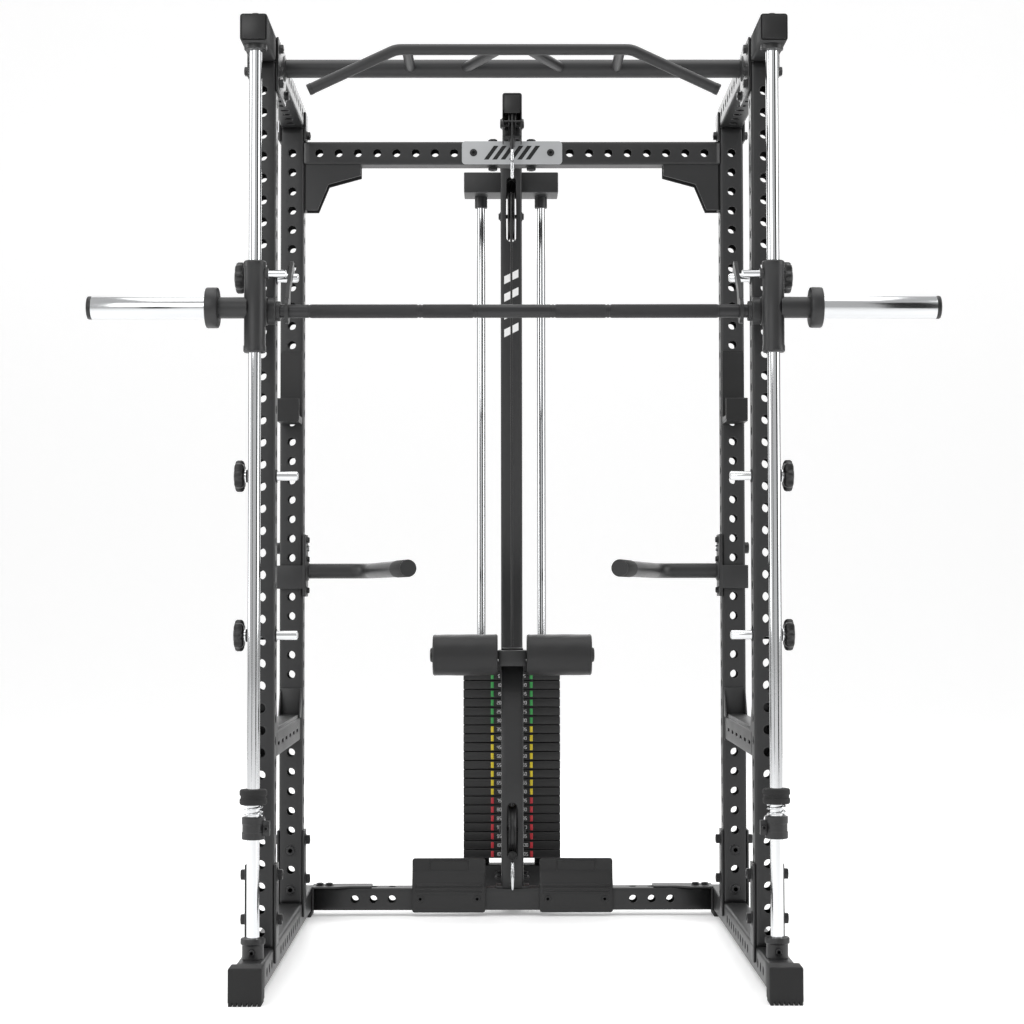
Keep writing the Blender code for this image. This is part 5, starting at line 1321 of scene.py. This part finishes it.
@dataclass
class WeightStack:
    """Numbered weight plates on two chrome rods, in a lifted and a resting part."""

    pitch: float = 0.025
    gap: float = 0.0016
    tag_x: float = 0.055
    number_x: float = 0.036
    digit_height: float = 0.0085
    step: int = 5

    def build(self) -> None:
        """Build both parts of the stack and the rods."""
        split = corners("resting_plates")[1][2]
        resting = int(round((split - 0.122) / self.pitch))
        lifted = 8
        self.plates("resting_plates", "frame", 0.122, resting, lifted)
        self.plates("lifted_plates", "lifted_stack", split + 0.0003, lifted, 0)
        for _, name in SIDES:
            node = f"stack_rod_{name}"
            low, high = corners(node)
            x, y, _ = middle(node)
            form = Form()
            round_bar(form, "chrome", Axis.Z, (x, y, 0), 0.0125, (low[2], high[2]), 0.001, 48)
            piece = form.build(f"stack_guide_{name}", "frame", "chrome")
            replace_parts(piece, node)

    def plates(self, node: str, body: str, base: float, count: int, above: int) -> None:
        """One part of the stack, with the tags and numbers of its plates."""
        y, half = middle(node)[1], 0.1365
        front = y - 0.060
        form = Form()
        for place in range(count):
            under = base + self.pitch * place
            number = above + count - 1 - place
            band_box(form, "stack", (-half, half), (front, front + 0.120), (under, under + self.pitch - self.gap),
                     0.0022, 3)
            z = under + (self.pitch - self.gap) / 2
            self.tag(form, z, front, number)
        if body == "frame":
            for side, _ in SIDES:
                pad = [(0.0135, 0.0993), (0.0205, 0.0993), (0.0220, 0.1010), (0.0220, 0.1195), (0.0205, 0.1212),
                       (0.0135, 0.1212)]
                form.solid(lathe(pad, Axis.Z, (side * 0.086, y, 0), 36), "rubber")
        else:
            top = base + self.pitch * count
            band_box(form, "stack", (-half + 0.004, half - 0.004), (front + 0.004, front + 0.116),
                     (top - 0.0016, top + 0.0295), 0.004, 4)
            stem = [(0.0062, top + 0.0290), (0.0165, top + 0.0290), (0.0165, top + 0.0340), (0.0115, top + 0.0350),
                    (0.0115, top + 0.0535), (0.0100, top + 0.0548), (0.0062, top + 0.0548)]
            form.solid(lathe(stem, Axis.Z, (0, y, 0), 32), "chrome")
            for side, _ in SIDES:
                bush = [(0.0135, top + 0.0290), (0.0190, top + 0.0290), (0.0190, top + 0.0298), (0.0135, top + 0.0298)]
                form.solid(lathe(bush, Axis.Z, (side * 0.086, y, 0), 32), "plastic")
        piece = form.build(f"numbered_{node}", body, "stack_steel")
        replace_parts(piece, node)

    def tag(self, form: Form, z: float, front: float, number: int) -> None:
        """Add the coloured tags, the white numbers and the pin hole of one plate."""
        colour = TagColour.at(number)
        for side, _ in SIDES:
            band_box(form, colour, (side * (self.tag_x - 0.004), side * (self.tag_x + 0.004)),
                     (front - 0.0006, front + 0.001), (z - 0.0085, z + 0.0085), 0.0004)
            self.number(form, (number + 1) * self.step, side * self.number_x, front, z)
        hole = [(0.0050, -0.0003), (0.0062, -0.0003), (0.0062, 0.0010), (0.0050, 0.0010)]
        form.sheet(lathe(hole, Axis.Y, (0, front, z), 20), "chrome", wrap_rows=True, wrap_columns=True)

    def number(self, form: Form, value: int, x: float, front: float, z: float) -> None:
        """Add a number of seven-bar digits, thin raised bars on the plate's front."""
        tall, thick, advance = self.digit_height, 0.0012, self.digit_height * 0.78
        text = str(value)
        for place, digit in enumerate(text):
            centre = x + (place - (len(text) - 1) / 2) * advance
            for bar in DIGIT_BARS[digit]:
                across, up, flat = BAR_PLACES[bar]
                half_x, half_z = (tall * 0.25, thick / 2) if flat else (thick / 2, tall * 0.25)
                mid_x, mid_z = centre + across * tall * 0.5, z + up * tall * 0.5
                outline = [(mid_z - half_z, mid_x - half_x), (mid_z - half_z, mid_x + half_x),
                           (mid_z + half_z, mid_x + half_x), (mid_z + half_z, mid_x - half_x)]
                form.solid(slab(outline, Axis.Y, front - 0.0005, front + 0.0004), "white")


@dataclass
class Tower:
    """Mast, boom, stack head, post, pulleys, cables, hooks, rollers and foot plates."""

    wall: float = 0.003
    cable_radius: float = 0.003
    groove: float = 0.0045
    stripe_count: int = 4

    def build(self) -> None:
        """Build the tower."""
        self.base()
        self.mast()
        self.boom()
        self.head()
        self.post()
        for node, body in (("boom_front_pulley", "boom_front_wheel"), ("boom_rear_pulley", "boom_rear_wheel"),
                           ("mast_pulley", "mast_wheel"), ("low_pulley", "low_wheel")):
            self.pulley(node, body)
        self.cables()
        for node in ("lat_hook", "low_hook"):
            self.snap_hook(node)
        self.roller_bracket()
        for side, name in SIDES:
            self.roller(side, name)
            self.foot_plate(side, name)

    def base(self) -> None:
        """Base tube of the tower with the stack's seat and the rubber foot."""
        low, high = corners("tower_base")
        y = middle("stack_rod_left")[1]
        end = high[1] - 0.012
        tube = HoledTube(Axis.Y, (0.045, 0.0), low[1], end)
        tube.build("tower_base_tube", "frame")
        form = Form()
        band_box(form, "powder", (-0.130, 0.130), (y - 0.035, y + 0.035), (0.030, 0.099), 0.003, 3)
        band_box(form, "rubber", (-0.036, 0.036), (end - 0.052, high[1]), (0.0, 0.0148), 0.003, 3)
        band_box(form, "rubber", (-0.0295, 0.0295), (end - 0.001, high[1]), (0.006, 0.074), 0.003, 3)
        band_box(form, "powder", (-0.045, 0.045), (0.586, 0.696), (0.0748, 0.0800), 0.001)
        for side, _ in SIDES:
            for place in (0.600, 0.682):
                bolt_head(form, Axis.Z, (side * 0.038, place, 0.0800), 1, 0.0085, 0.0075)
        piece = form.build("stack_seat", "frame", "powder_coat")
        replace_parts(piece, "tower_base")

    def mast(self) -> None:
        """Mast tube slotted for its pulley, with the axle and slanted stripes on its front."""
        low, high = corners("mast")
        centre = middle("mast")
        pulley = middle("mast_pulley")
        tube = HoledTube(Axis.Z, (0.0, centre[1]), low[2], high[2], pitch=0.230, radius=0.0142, slot=0.156,
                         holes={1: [pulley[2] + 0.016], 3: [pulley[2] + 0.016]})
        tube.build("mast_tube", "frame")
        form = Form()
        self.axle(form, pulley[1], pulley[2], 0.030)
        front = centre[1] - 0.030
        for stripe in range(self.stripe_count):
            z = 1.590 + stripe * 0.050
            slant = [(z - 0.004, -0.020), (z + 0.016, 0.020), (z + 0.038, 0.020), (z + 0.018, -0.020)]
            form.solid(slab(slant, Axis.Y, front - 0.0004, front + 0.0004), "white")
        piece = form.build("mast_fittings", "frame", "powder_coat")
        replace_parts(piece, "mast")

    @staticmethod
    def axle(form: Form, y: float, z: float, half: float) -> None:
        """Add an axle bolt with a head and a nut outside two walls."""
        round_bar(form, "zinc", Axis.X, (0, y, z), 0.0058, (-half - 0.001, half + 0.001), 0.0005, 24)
        for side in (-1, 1):
            bolt_head(form, Axis.X, (side * half, y, z), side, 0.0100, 0.0058)

    def boom(self) -> None:
        """Boom tube open underneath for its pulleys, with fork plates, axles and end caps."""
        low, high = corners("boom")
        base = corners("mast")[1][2] + 0.0003
        front = middle("boom_front_pulley")
        rear = middle("boom_rear_pulley")
        tube = HoledTube(Axis.Y, (base + 0.037, 0.0), low[1], high[1], width=0.074, height=0.050, pitch=0.100,
                         radius=0.0142, slot=0.062, holes={2: [low[1] + 0.0505, rear[1] + 0.004]})
        tube.build("boom_tube", "frame")
        form = Form()
        plate = corners("name_plate")[0][1] - 0.003
        for side, _ in SIDES:
            cheek = sorted((side * 0.0217, side * 0.0247))
            outline = [(low[1], base + 0.030), (low[1], base - 0.030), (low[1] + 0.020, base - 0.050),
                       (plate - 0.020, base - 0.050), (plate, base - 0.030), (plate, base + 0.030)]
            form.solid(slab(outline, Axis.X, cheek[0], cheek[1]), "powder")
        round_bar(form, "zinc", Axis.X, (0, front[1] - 0.030, base - 0.038), 0.0045, (-0.0215, 0.0215), 0.0005, 20)
        self.axle(form, front[1], front[2], 0.0252)
        self.axle(form, rear[1], rear[2], 0.0252)
        band_box(form, "powder", (-0.0215, 0.0215), (front[1] + 0.048, 0.188), (2.0408, base + 0.001), 0.002, 3)
        for y, inside in ((low[1] + 0.0006, low[1] + 0.006), (high[1] - 0.0006, high[1] - 0.006)):
            band_box(form, "plastic", (-0.0210, 0.0210), (y, inside), (base + 0.022, base + 0.0705), 0.0015)
        bolt_head(form, Axis.X, (0.0247, 0.163, base + 0.020), 1, 0.0095, 0.0060)
        bolt_head(form, Axis.X, (-0.0247, 0.163, base + 0.020), -1, 0.0095, 0.0060)
        piece = form.build("boom_fork", "frame", "powder_coat", bevel=0.0008)
        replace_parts(piece, "boom")

    def head(self) -> None:
        """Bracket behind the mast with a cup for the top of each stack rod."""
        low, high = corners("stack_head")
        y = middle("stack_rod_left")[1]
        body = low[2] + 0.032
        form = Form()
        for side, _ in SIDES:
            band_box(form, "powder", (side * 0.0165, side * high[0]), (low[1], high[1]), (body, high[2]), 0.003, 4)
            cup = [(0.0130, low[2]), (0.0165, low[2]), (0.0180, low[2] + 0.0015), (0.0180, body + 0.001),
                   (0.0130, body + 0.001)]
            form.solid(lathe(cup, Axis.Z, (side * 0.086, y, 0), 40), "powder")
        band_box(form, "powder", (-0.018, 0.018), (high[1] - 0.014, high[1]), (body, high[2]), 0.002, 3)
        piece = form.build("rod_head_bracket", "frame", "powder_coat")
        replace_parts(piece, "stack_head")

    def post(self) -> None:
        """Front post slotted for the low pulley, with a cap and the axle."""
        low, high = corners("front_post")
        y = middle("front_post")[1]
        pulley = middle("low_pulley")
        tube = HoledTube(Axis.Z, (0.0, y), low[2], high[2] - 0.005, pitch=0.170, radius=0.0142, slot=0.124,
                         holes={1: [pulley[2] - 0.002], 3: [pulley[2] - 0.002]})
        tube.build("post_tube", "frame")
        form = Form()
        band_box(form, "plastic", (-0.0295, 0.0295), (y - 0.0295, y + 0.0295), (high[2] - 0.006, high[2]), 0.002, 3)
        self.axle(form, pulley[1], pulley[2], 0.030)
        band_box(form, "powder", (-0.045, 0.045), (y - 0.029, y + 0.029), (0.0752, 0.0805), 0.001)
        piece = form.build("post_fittings", "frame", "powder_coat")
        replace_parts(piece, "front_post")

    def pulley(self, node: str, body: str) -> None:
        """Grooved wheel with a rim, a dished web, a hub and a bearing, turned about X."""
        low, high = corners(node)
        centre = middle(node)
        r = (high[2] - low[2]) / 2
        half = 0.0099
        bed = self.cable_radius + 0.0008
        step = np.linspace(0, math.pi, 9)
        groove = [(r - self.groove + (1 - math.sin(a)) * 0.0012, -bed * math.cos(a)) for a in step]
        profile = [(0.0145, -half * 0.8), (0.0145, -half), (0.0175, -half), (0.0185, -half * 0.45),
                   (r - 0.0125, -half * 0.45), (r - 0.0110, -half), (r - 0.0008, -half), (r, -half * 0.88), *groove,
                   (r, half * 0.88), (r - 0.0008, half), (r - 0.0110, half), (r - 0.0125, half * 0.45),
                   (0.0185, half * 0.45), (0.0175, half), (0.0145, half), (0.0145, half * 0.8)]
        form = Form()
        form.sheet(lathe(profile, Axis.X, centre, 72), "plastic", wrap_rows=True, wrap_columns=True)
        bearing = [(0.0070, -half * 0.72), (0.0148, -half * 0.72), (0.0148, half * 0.72), (0.0070, half * 0.72)]
        form.sheet(lathe(bearing, Axis.X, centre, 40), "zinc", wrap_rows=True, wrap_columns=True)
        for side in (-1, 1):
            for turn in np.arange(6) * math.pi / 3:
                rib = (0.0185 + r - 0.0125) / 2
                place = centre + (side * half * 0.42, rib * math.cos(turn), rib * math.sin(turn))
                boss = [(0.0042, 0.0), (0.0036, side * 0.0016)]
                form.solid(lathe(boss, Axis.X, place, 16), "plastic")
        piece = form.build(f"{node}_wheel", body, "plastic")
        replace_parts(piece, node)

    def cables(self) -> None:
        """Both cables as tubes along their routes over the pulleys, with a crimp and a stop ball."""
        seat = self.groove - self.cable_radius - 0.0003
        front, rear = middle("boom_front_pulley"), middle("boom_rear_pulley")
        mast, low = middle("mast_pulley"), middle("low_pulley")
        reach = {node: (corners(node)[1][2] - corners(node)[0][2]) / 2 - seat
                 for node in ("boom_front_pulley", "boom_rear_pulley", "mast_pulley", "low_pulley")}
        inside = corners("lifted_plates")[1][2] - 0.097
        stack_y = middle("stack_rod_left")[1]
        hook_top = corners("lat_hook")[1][2]
        run = reach["boom_front_pulley"]
        lat = [(front[1] - run, hook_top + 0.0008), *self.turn(front, run, 180, 90),
               *self.turn(rear, reach["boom_rear_pulley"], 90, 0), (stack_y, inside)]
        crimp = [(0.0032, hook_top + 0.0003), (0.0058, hook_top + 0.0012), (0.0060, hook_top + 0.022),
                 (0.0045, hook_top + 0.026), (0.0031, hook_top + 0.0262)]
        self.cable("lat_cable", lat, lathe(crimp, Axis.Z, (0, front[1] - run, 0), 28), "zinc")
        low_run, mast_run = reach["low_pulley"], reach["mast_pulley"]
        across, up = mast[1] - low[1], mast[2] - low[2]
        leave = math.degrees(math.atan2(up, across) - math.acos((low_run + mast_run) / math.hypot(across, up)))
        stop_y, level = low[1] - 0.052, low[2] - low_run
        row = [(stop_y, level), *self.turn(low, low_run, -90, leave), *self.turn(mast, mast_run, 180 + leave, 0),
               (mast[1] + mast_run, inside)]
        arc = np.linspace(-math.pi / 2 + 0.2, math.pi / 2 - 0.2, 13)
        ball = [(0.0118 * math.cos(a), 0.0118 * math.sin(a)) for a in arc]
        self.cable("low_cable", row, lathe(ball, Axis.X, (0, stop_y, level), 32), "rubber")

    @staticmethod
    def turn(centre: Array, radius: float, start: float, stop: float) -> list[tuple[float, float]]:
        """Points (y, z) of an arc about a pulley, in degrees from +Y."""
        sweep = np.radians(np.linspace(start, stop, 25))
        return [(centre[1] + radius * math.cos(a), centre[2] + radius * math.sin(a)) for a in sweep]

    def cable(self, node: str, route: list[tuple[float, float]], fitting: Array, finish: str) -> None:
        """Build one cable from its (y, z) route, with the fitting on its outer end."""
        flat = np.asarray(route)
        path = np.column_stack([np.zeros(len(flat)), flat])
        form = Form()
        form.solid(swept(path, self.cable_radius, (1, 0, 0), 16), "cable")
        form.solid(fitting, finish)
        piece = form.build(f"{node}_rope", "frame", "cable")
        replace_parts(piece, node)

    @staticmethod
    def snap_hook(node: str) -> None:
        """Snap hook: a closed pear-shaped wire with a gate."""
        low, high = corners(node)
        centre = middle(node)
        wire = 0.004
        half = (high[1] - low[1]) / 2 - wire
        turn = np.linspace(0, 2 * math.pi, 65)[:-1]
        straight = (high[2] - low[2]) / 2 - wire - half
        shift = np.where(np.sin(turn) >= 0, straight, -straight)
        narrow = 1 - 0.10 * np.clip(np.sin(turn), 0, 1)
        path = np.stack([np.zeros_like(turn), centre[1] + half * np.cos(turn) * narrow,
                         centre[2] + half * np.sin(turn) + shift], axis=-1)
        form = Form()
        form.sheet(swept(path, wire, (1, 0, 0), 18, loop=True), "chrome", wrap_rows=True, wrap_columns=True)
        gate = [(0.0038, -straight), (0.0046, 0.002 - straight), (0.0046, straight * 0.9), (0.0038, straight)]
        form.solid(lathe(gate, Axis.Z, (0, centre[1] - half, centre[2]), 24), "worn_chrome")
        piece = form.build(f"{node}_snap", "frame", "chrome")
        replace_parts(piece, node)

    @staticmethod
    def roller_bracket() -> None:
        """Collar round the post with the rollers' axle, end nuts and a locking screw."""
        low, high = corners("roller_bracket")
        axle = middle("thigh_roller_left")
        y, z = axle[1], axle[2]
        post = middle("front_post")[1]
        form = Form()
        for side, _ in SIDES:
            band_box(form, "powder", (side * 0.0303, side * 0.0370), (low[1] + 0.003, high[1]), (z - 0.030, z + 0.012),
                     0.001)
        for span in ((y - 0.022, post - 0.0303), (post + 0.0303, high[1])):
            band_box(form, "powder", (-0.0370, 0.0370), span, (z - 0.030, z + 0.012), 0.0015)
        round_bar(form, "powder", Axis.X, (0, y, z), 0.0125, (-0.2145, 0.2145), 0.001, 36)
        for side, _ in SIDES:
            nub = [(0.0195, side * 0.2148), (0.0200, side * 0.2165), (0.0180, side * 0.2205), (0.0120, side * 0.2219)]
            form.solid(lathe(nub, Axis.X, (0, y, z), 36), "plastic")
        bolt_head(form, Axis.Y, (0, high[1], z - 0.010), 1, 0.0085, 0.0060)
        piece = form.build("roller_axle", "frame", "powder_coat")
        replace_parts(piece, "roller_bracket")

    @staticmethod
    def roller(side: int, name: str) -> None:
        """Foam roller: a crowned cylinder with soft shoulders and faint compression waves."""
        node = f"thigh_roller_{name}"
        low, high = corners(node)
        centre = middle(node)
        r = (high[2] - low[2]) / 2
        half = (high[0] - low[0]) / 2
        soft = 0.006
        bend = np.linspace(0, math.pi / 2, 9)
        side_run = np.linspace(-1, 1, 41)[1:-1]
        left = [(r - soft + soft * math.sin(a), -half + soft - soft * math.cos(a)) for a in bend]
        right = [(r - soft + soft * math.cos(a), half - soft + soft * math.sin(a)) for a in bend]
        body = [(r - 0.0006 * k * k, k * (half - soft)) for k in side_run]
        dish = [(0.0140, -half + 0.004), (0.0200, -half + 0.003), (0.0270, -half)]
        profile = [*dish, *left, *body, *right, *[(a, -b) for a, b in reversed(dish)]]
        rows = lathe(profile, Axis.X, centre, 96)
        angle = np.linspace(0, 2 * math.pi, 96, endpoint=False)[None, :]
        along = rows[..., 0] - centre[0]
        ripple = 0.0004 * np.sin(3 * angle + 40 * along) * np.sin(55 * along + 2 * angle)
        for axis in (1, 2):
            rows[..., axis] = centre[axis] + (rows[..., axis] - centre[axis]) * (1 - 0.002 + ripple / r)
        form = Form()
        form.sheet(rows, "foam", wrap_rows=True, wrap_columns=True)
        piece = form.build(f"foam_roller_{name}", f"roller_body_{name}", "foam", smooth=60)
        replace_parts(piece, node)
        LOG.info("roller %s on side %d", name, side)

    @staticmethod
    def foot_plate(side: int, name: str) -> None:
        """Moulded foot plate, bent back at the top, with a framed panel, tread ribs and screws."""
        node = f"foot_plate_{name}"
        low, high = corners(node)
        centre = middle(node)
        back = middle("front_post")[1] - 0.0303
        front = back - 0.012
        form = Form()
        line = bent([(0, front, low[2]), (0, front, 0.084), (0, front + 0.020, 0.118), (0, front + 0.022, high[2])],
                    0.030, 6)
        inner = line + (0, 0.0118, 0)
        edge = np.concatenate([line[:, 1:], inner[::-1, 1:]])
        across = np.array([low[0], low[0] + 0.0020, low[0] + 0.006, high[0] - 0.006, high[0] - 0.0020, high[0]])
        inset = np.array([0.006, 0.0018, 0.0, 0.0, 0.0018, 0.006])
        middle_z = (low[2] + high[2]) / 2
        middle_y = (edge[:, 0].min() + edge[:, 0].max()) / 2
        shrink = 1 - inset[:, None] / (high[2] - low[2]) * 2
        rings = np.empty((len(across), len(edge), 3))
        rings[..., 0] = across[:, None]
        rings[..., 1] = edge[:, 0] + (inset * 0.15)[:, None] * np.sign(middle_y - edge[:, 0])
        rings[..., 2] = middle_z + (edge[:, 1] - middle_z) * shrink
        form.solid(rings, "plastic")
        wide = high[0] - low[0]
        for row in range(3):
            z = 0.064 + row * 0.0105
            band_box(form, "plastic", (centre[0] - wide * 0.455, centre[0] + wide * 0.455),
                     (front - 0.0020, front + 0.002), (z - 0.0032, z + 0.0032), 0.0018, 3)
        for under, over in ((0.1185, 0.1205), (0.1465, 0.1485)):
            band_box(form, "plastic", (centre[0] - wide * 0.26, centre[0] + wide * 0.26),
                     (front + 0.0190, front + 0.0240), (under, over), 0.0008)
        for place in (-1, 1):
            edge_x = centre[0] + place * wide * 0.26
            band_box(form, "plastic", (edge_x - 0.001, edge_x + 0.001), (front + 0.0190, front + 0.0240),
                     (0.1185, 0.1485), 0.0008)
            screw = (centre[0] + place * 0.0765, front + 0.0004, 0.047)
            collar = [(0.0052, -0.0022), (0.0086, -0.0022), (0.0096, 0.0), (0.0052, 0.0)]
            form.sheet(lathe(collar, Axis.Y, screw, 32), "plastic", wrap_rows=True, wrap_columns=True)
            bolt_head(form, Axis.Y, screw, -1, 0.0042, 0.0016)
        piece = form.build(f"moulded_foot_plate_{name}", "frame", "plastic")
        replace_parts(piece, node)
        LOG.info("foot plate %s on side %d", name, side)


# ---------------------------------------------------------------- studio
@dataclass
class Studio:
    """Pale floor that curves up into a backdrop, soft lights, pale sky and the camera."""

    floor_half: float = 14.0
    backdrop_radius: float = 4.0
    camera_place: tuple[float, float, float] = (-0.030, -5.460, 0.866)
    camera_turn: tuple[float, float, float] = (92.164, 0.08, -0.29)
    lens: float = 76.3
    flag_distance: float = 7.0
    flags: tuple[tuple[float, float], ...] = ((-27.0, 1.1), (40.0, 2.2), (-112.0, 2.0), (118.0, 2.4))

    def build(self) -> None:
        """Build the studio."""
        self.floor()
        self.sky()
        self.lamp("overhead_softbox", (0.0, -0.6, 5.2), (0, 0, 0), (5.0, 4.0), 110.0)
        self.lamp("front_softbox", (-2.6, -5.2, 3.4), (58, 0, -26), (3.2, 3.2), 80.0)
        self.lamp("right_softbox", (4.2, -1.4, 2.6), (72, 0, 72), (1.6, 4.0), 70.0)
        self.lamp("left_softbox", (-4.2, -0.6, 2.6), (72, 0, -80), (1.6, 4.0), 70.0)
        self.lamp("back_softbox", (0.0, 4.6, 3.6), (60, 0, 180), (4.0, 2.4), 80.0)
        for azimuth, width in self.flags:
            self.flag(azimuth, width)
        self.camera()

    def flag(self, azimuth: float, width: float) -> None:
        """Add a dark card that only polished metal mirrors, at an angle in degrees from -Y about Z."""
        turn = math.radians(azimuth)
        across = np.array([math.cos(turn), math.sin(turn), 0.0]) * width / 2
        centre = np.array([math.sin(turn), -math.cos(turn), 0.0]) * self.flag_distance
        rows = [centre - across, centre + across, centre + across + (0, 0, 6.0), centre - across + (0, 0, 6.0)]
        name = f"dark_flag_{len(bpy.data.objects)}"
        mesh = bpy.data.meshes.new(name)
        mesh.from_pydata([row.tolist() for row in rows], [], [(0, 1, 2, 3)])
        board = Board(name)
        board.feed("Base Color", (0.01, 0.01, 0.01, 1.0))
        board.feed("Roughness", 1.0)
        mesh.materials.append(board.material)
        card = bpy.data.objects.new(name, mesh)
        card.visible_camera = False
        card.visible_shadow = False
        card.visible_diffuse = False
        bpy.context.scene.collection.objects.link(card)

    def floor(self) -> None:
        """Floor plane swept into a quarter-round rise behind the object."""
        bend = np.linspace(0, math.pi / 2, 24)
        rise = [(8.0 + self.backdrop_radius * math.sin(a), self.backdrop_radius * (1 - math.cos(a))) for a in bend]
        profile = np.array([(-self.floor_half, 0.0), *rise, (8.0 + self.backdrop_radius, 14.0)])
        across = np.linspace(-self.floor_half, self.floor_half, 3)
        rows = np.empty((len(profile), len(across), 3))
        rows[..., 0] = across[None, :]
        rows[..., 1:] = profile[:, None, :]
        index = np.arange(len(profile) * len(across)).reshape(len(profile), -1)
        quads = np.stack([index[:-1, :-1], index[:-1, 1:], index[1:, 1:], index[1:, :-1]], axis=-1).reshape(-1, 4)
        mesh = bpy.data.meshes.new("studio_floor")
        mesh.from_pydata(rows.reshape(-1, 3).tolist(), [], quads.tolist())
        mesh.shade_smooth()
        board = Board("studio_paper")
        board.feed("Base Color", (0.94, 0.94, 0.94, 1.0))
        board.feed("Roughness", 0.55)
        board.feed("Emission Color", (1.0, 1.0, 1.0, 1.0))
        board.feed("Emission Strength", 0.25)
        mesh.materials.append(board.material)
        floor = bpy.data.objects.new("studio_floor", mesh)
        bpy.context.scene.collection.objects.link(floor)

    @staticmethod
    def sky() -> None:
        """Even white surroundings."""
        world = bpy.data.worlds.new("studio_sky")
        world.use_nodes = True
        ground = world.node_tree.nodes["Background"]
        ground.inputs["Color"].default_value = (1.0, 1.0, 1.0, 1.0)
        ground.inputs["Strength"].default_value = 0.62
        bpy.context.scene.world = world
        bpy.context.scene.view_settings.view_transform = "Standard"

    @staticmethod
    def lamp(name: str, place: Sequence[float], turn: Sequence[float], size: Sequence[float], power: float) -> None:
        """Add one rectangular area light, turned by angles in degrees."""
        data = bpy.data.lights.new(name, "AREA")
        data.shape = "RECTANGLE"
        data.size, data.size_y = size
        data.energy = power
        light = bpy.data.objects.new(name, data)
        light.location = place
        light.rotation_euler = Euler(np.radians(turn).tolist())
        bpy.context.scene.collection.objects.link(light)

    def camera(self) -> None:
        """Long lens on the middle of the rack from a little under its middle height."""
        data = bpy.data.cameras.new("studio_camera")
        data.lens = self.lens
        data.sensor_width = 36.0
        data.clip_end = 100.0
        view = bpy.data.objects.new("studio_camera", data)
        view.location = self.camera_place
        view.rotation_euler = Euler(np.radians(self.camera_turn).tolist())
        bpy.context.scene.collection.objects.link(view)
        bpy.context.scene.camera = view


def main() -> None:
    """Load the frame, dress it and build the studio."""
    logging.basicConfig(level=logging.INFO, format="%(name)s: %(message)s")
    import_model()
    WARDROBE.update({key: finish.make() for key, finish in FINISHES.items()})
    Studio().build()
    for assembly in (Base(), Uprights(), TopBeams(), GuideRods(), GuidedBar(), CatchPins(), PullUpBar(),
                     HungPieces(), WeightStack(), Tower()):
        assembly.build()


if __name__ == "__main__":
    main()
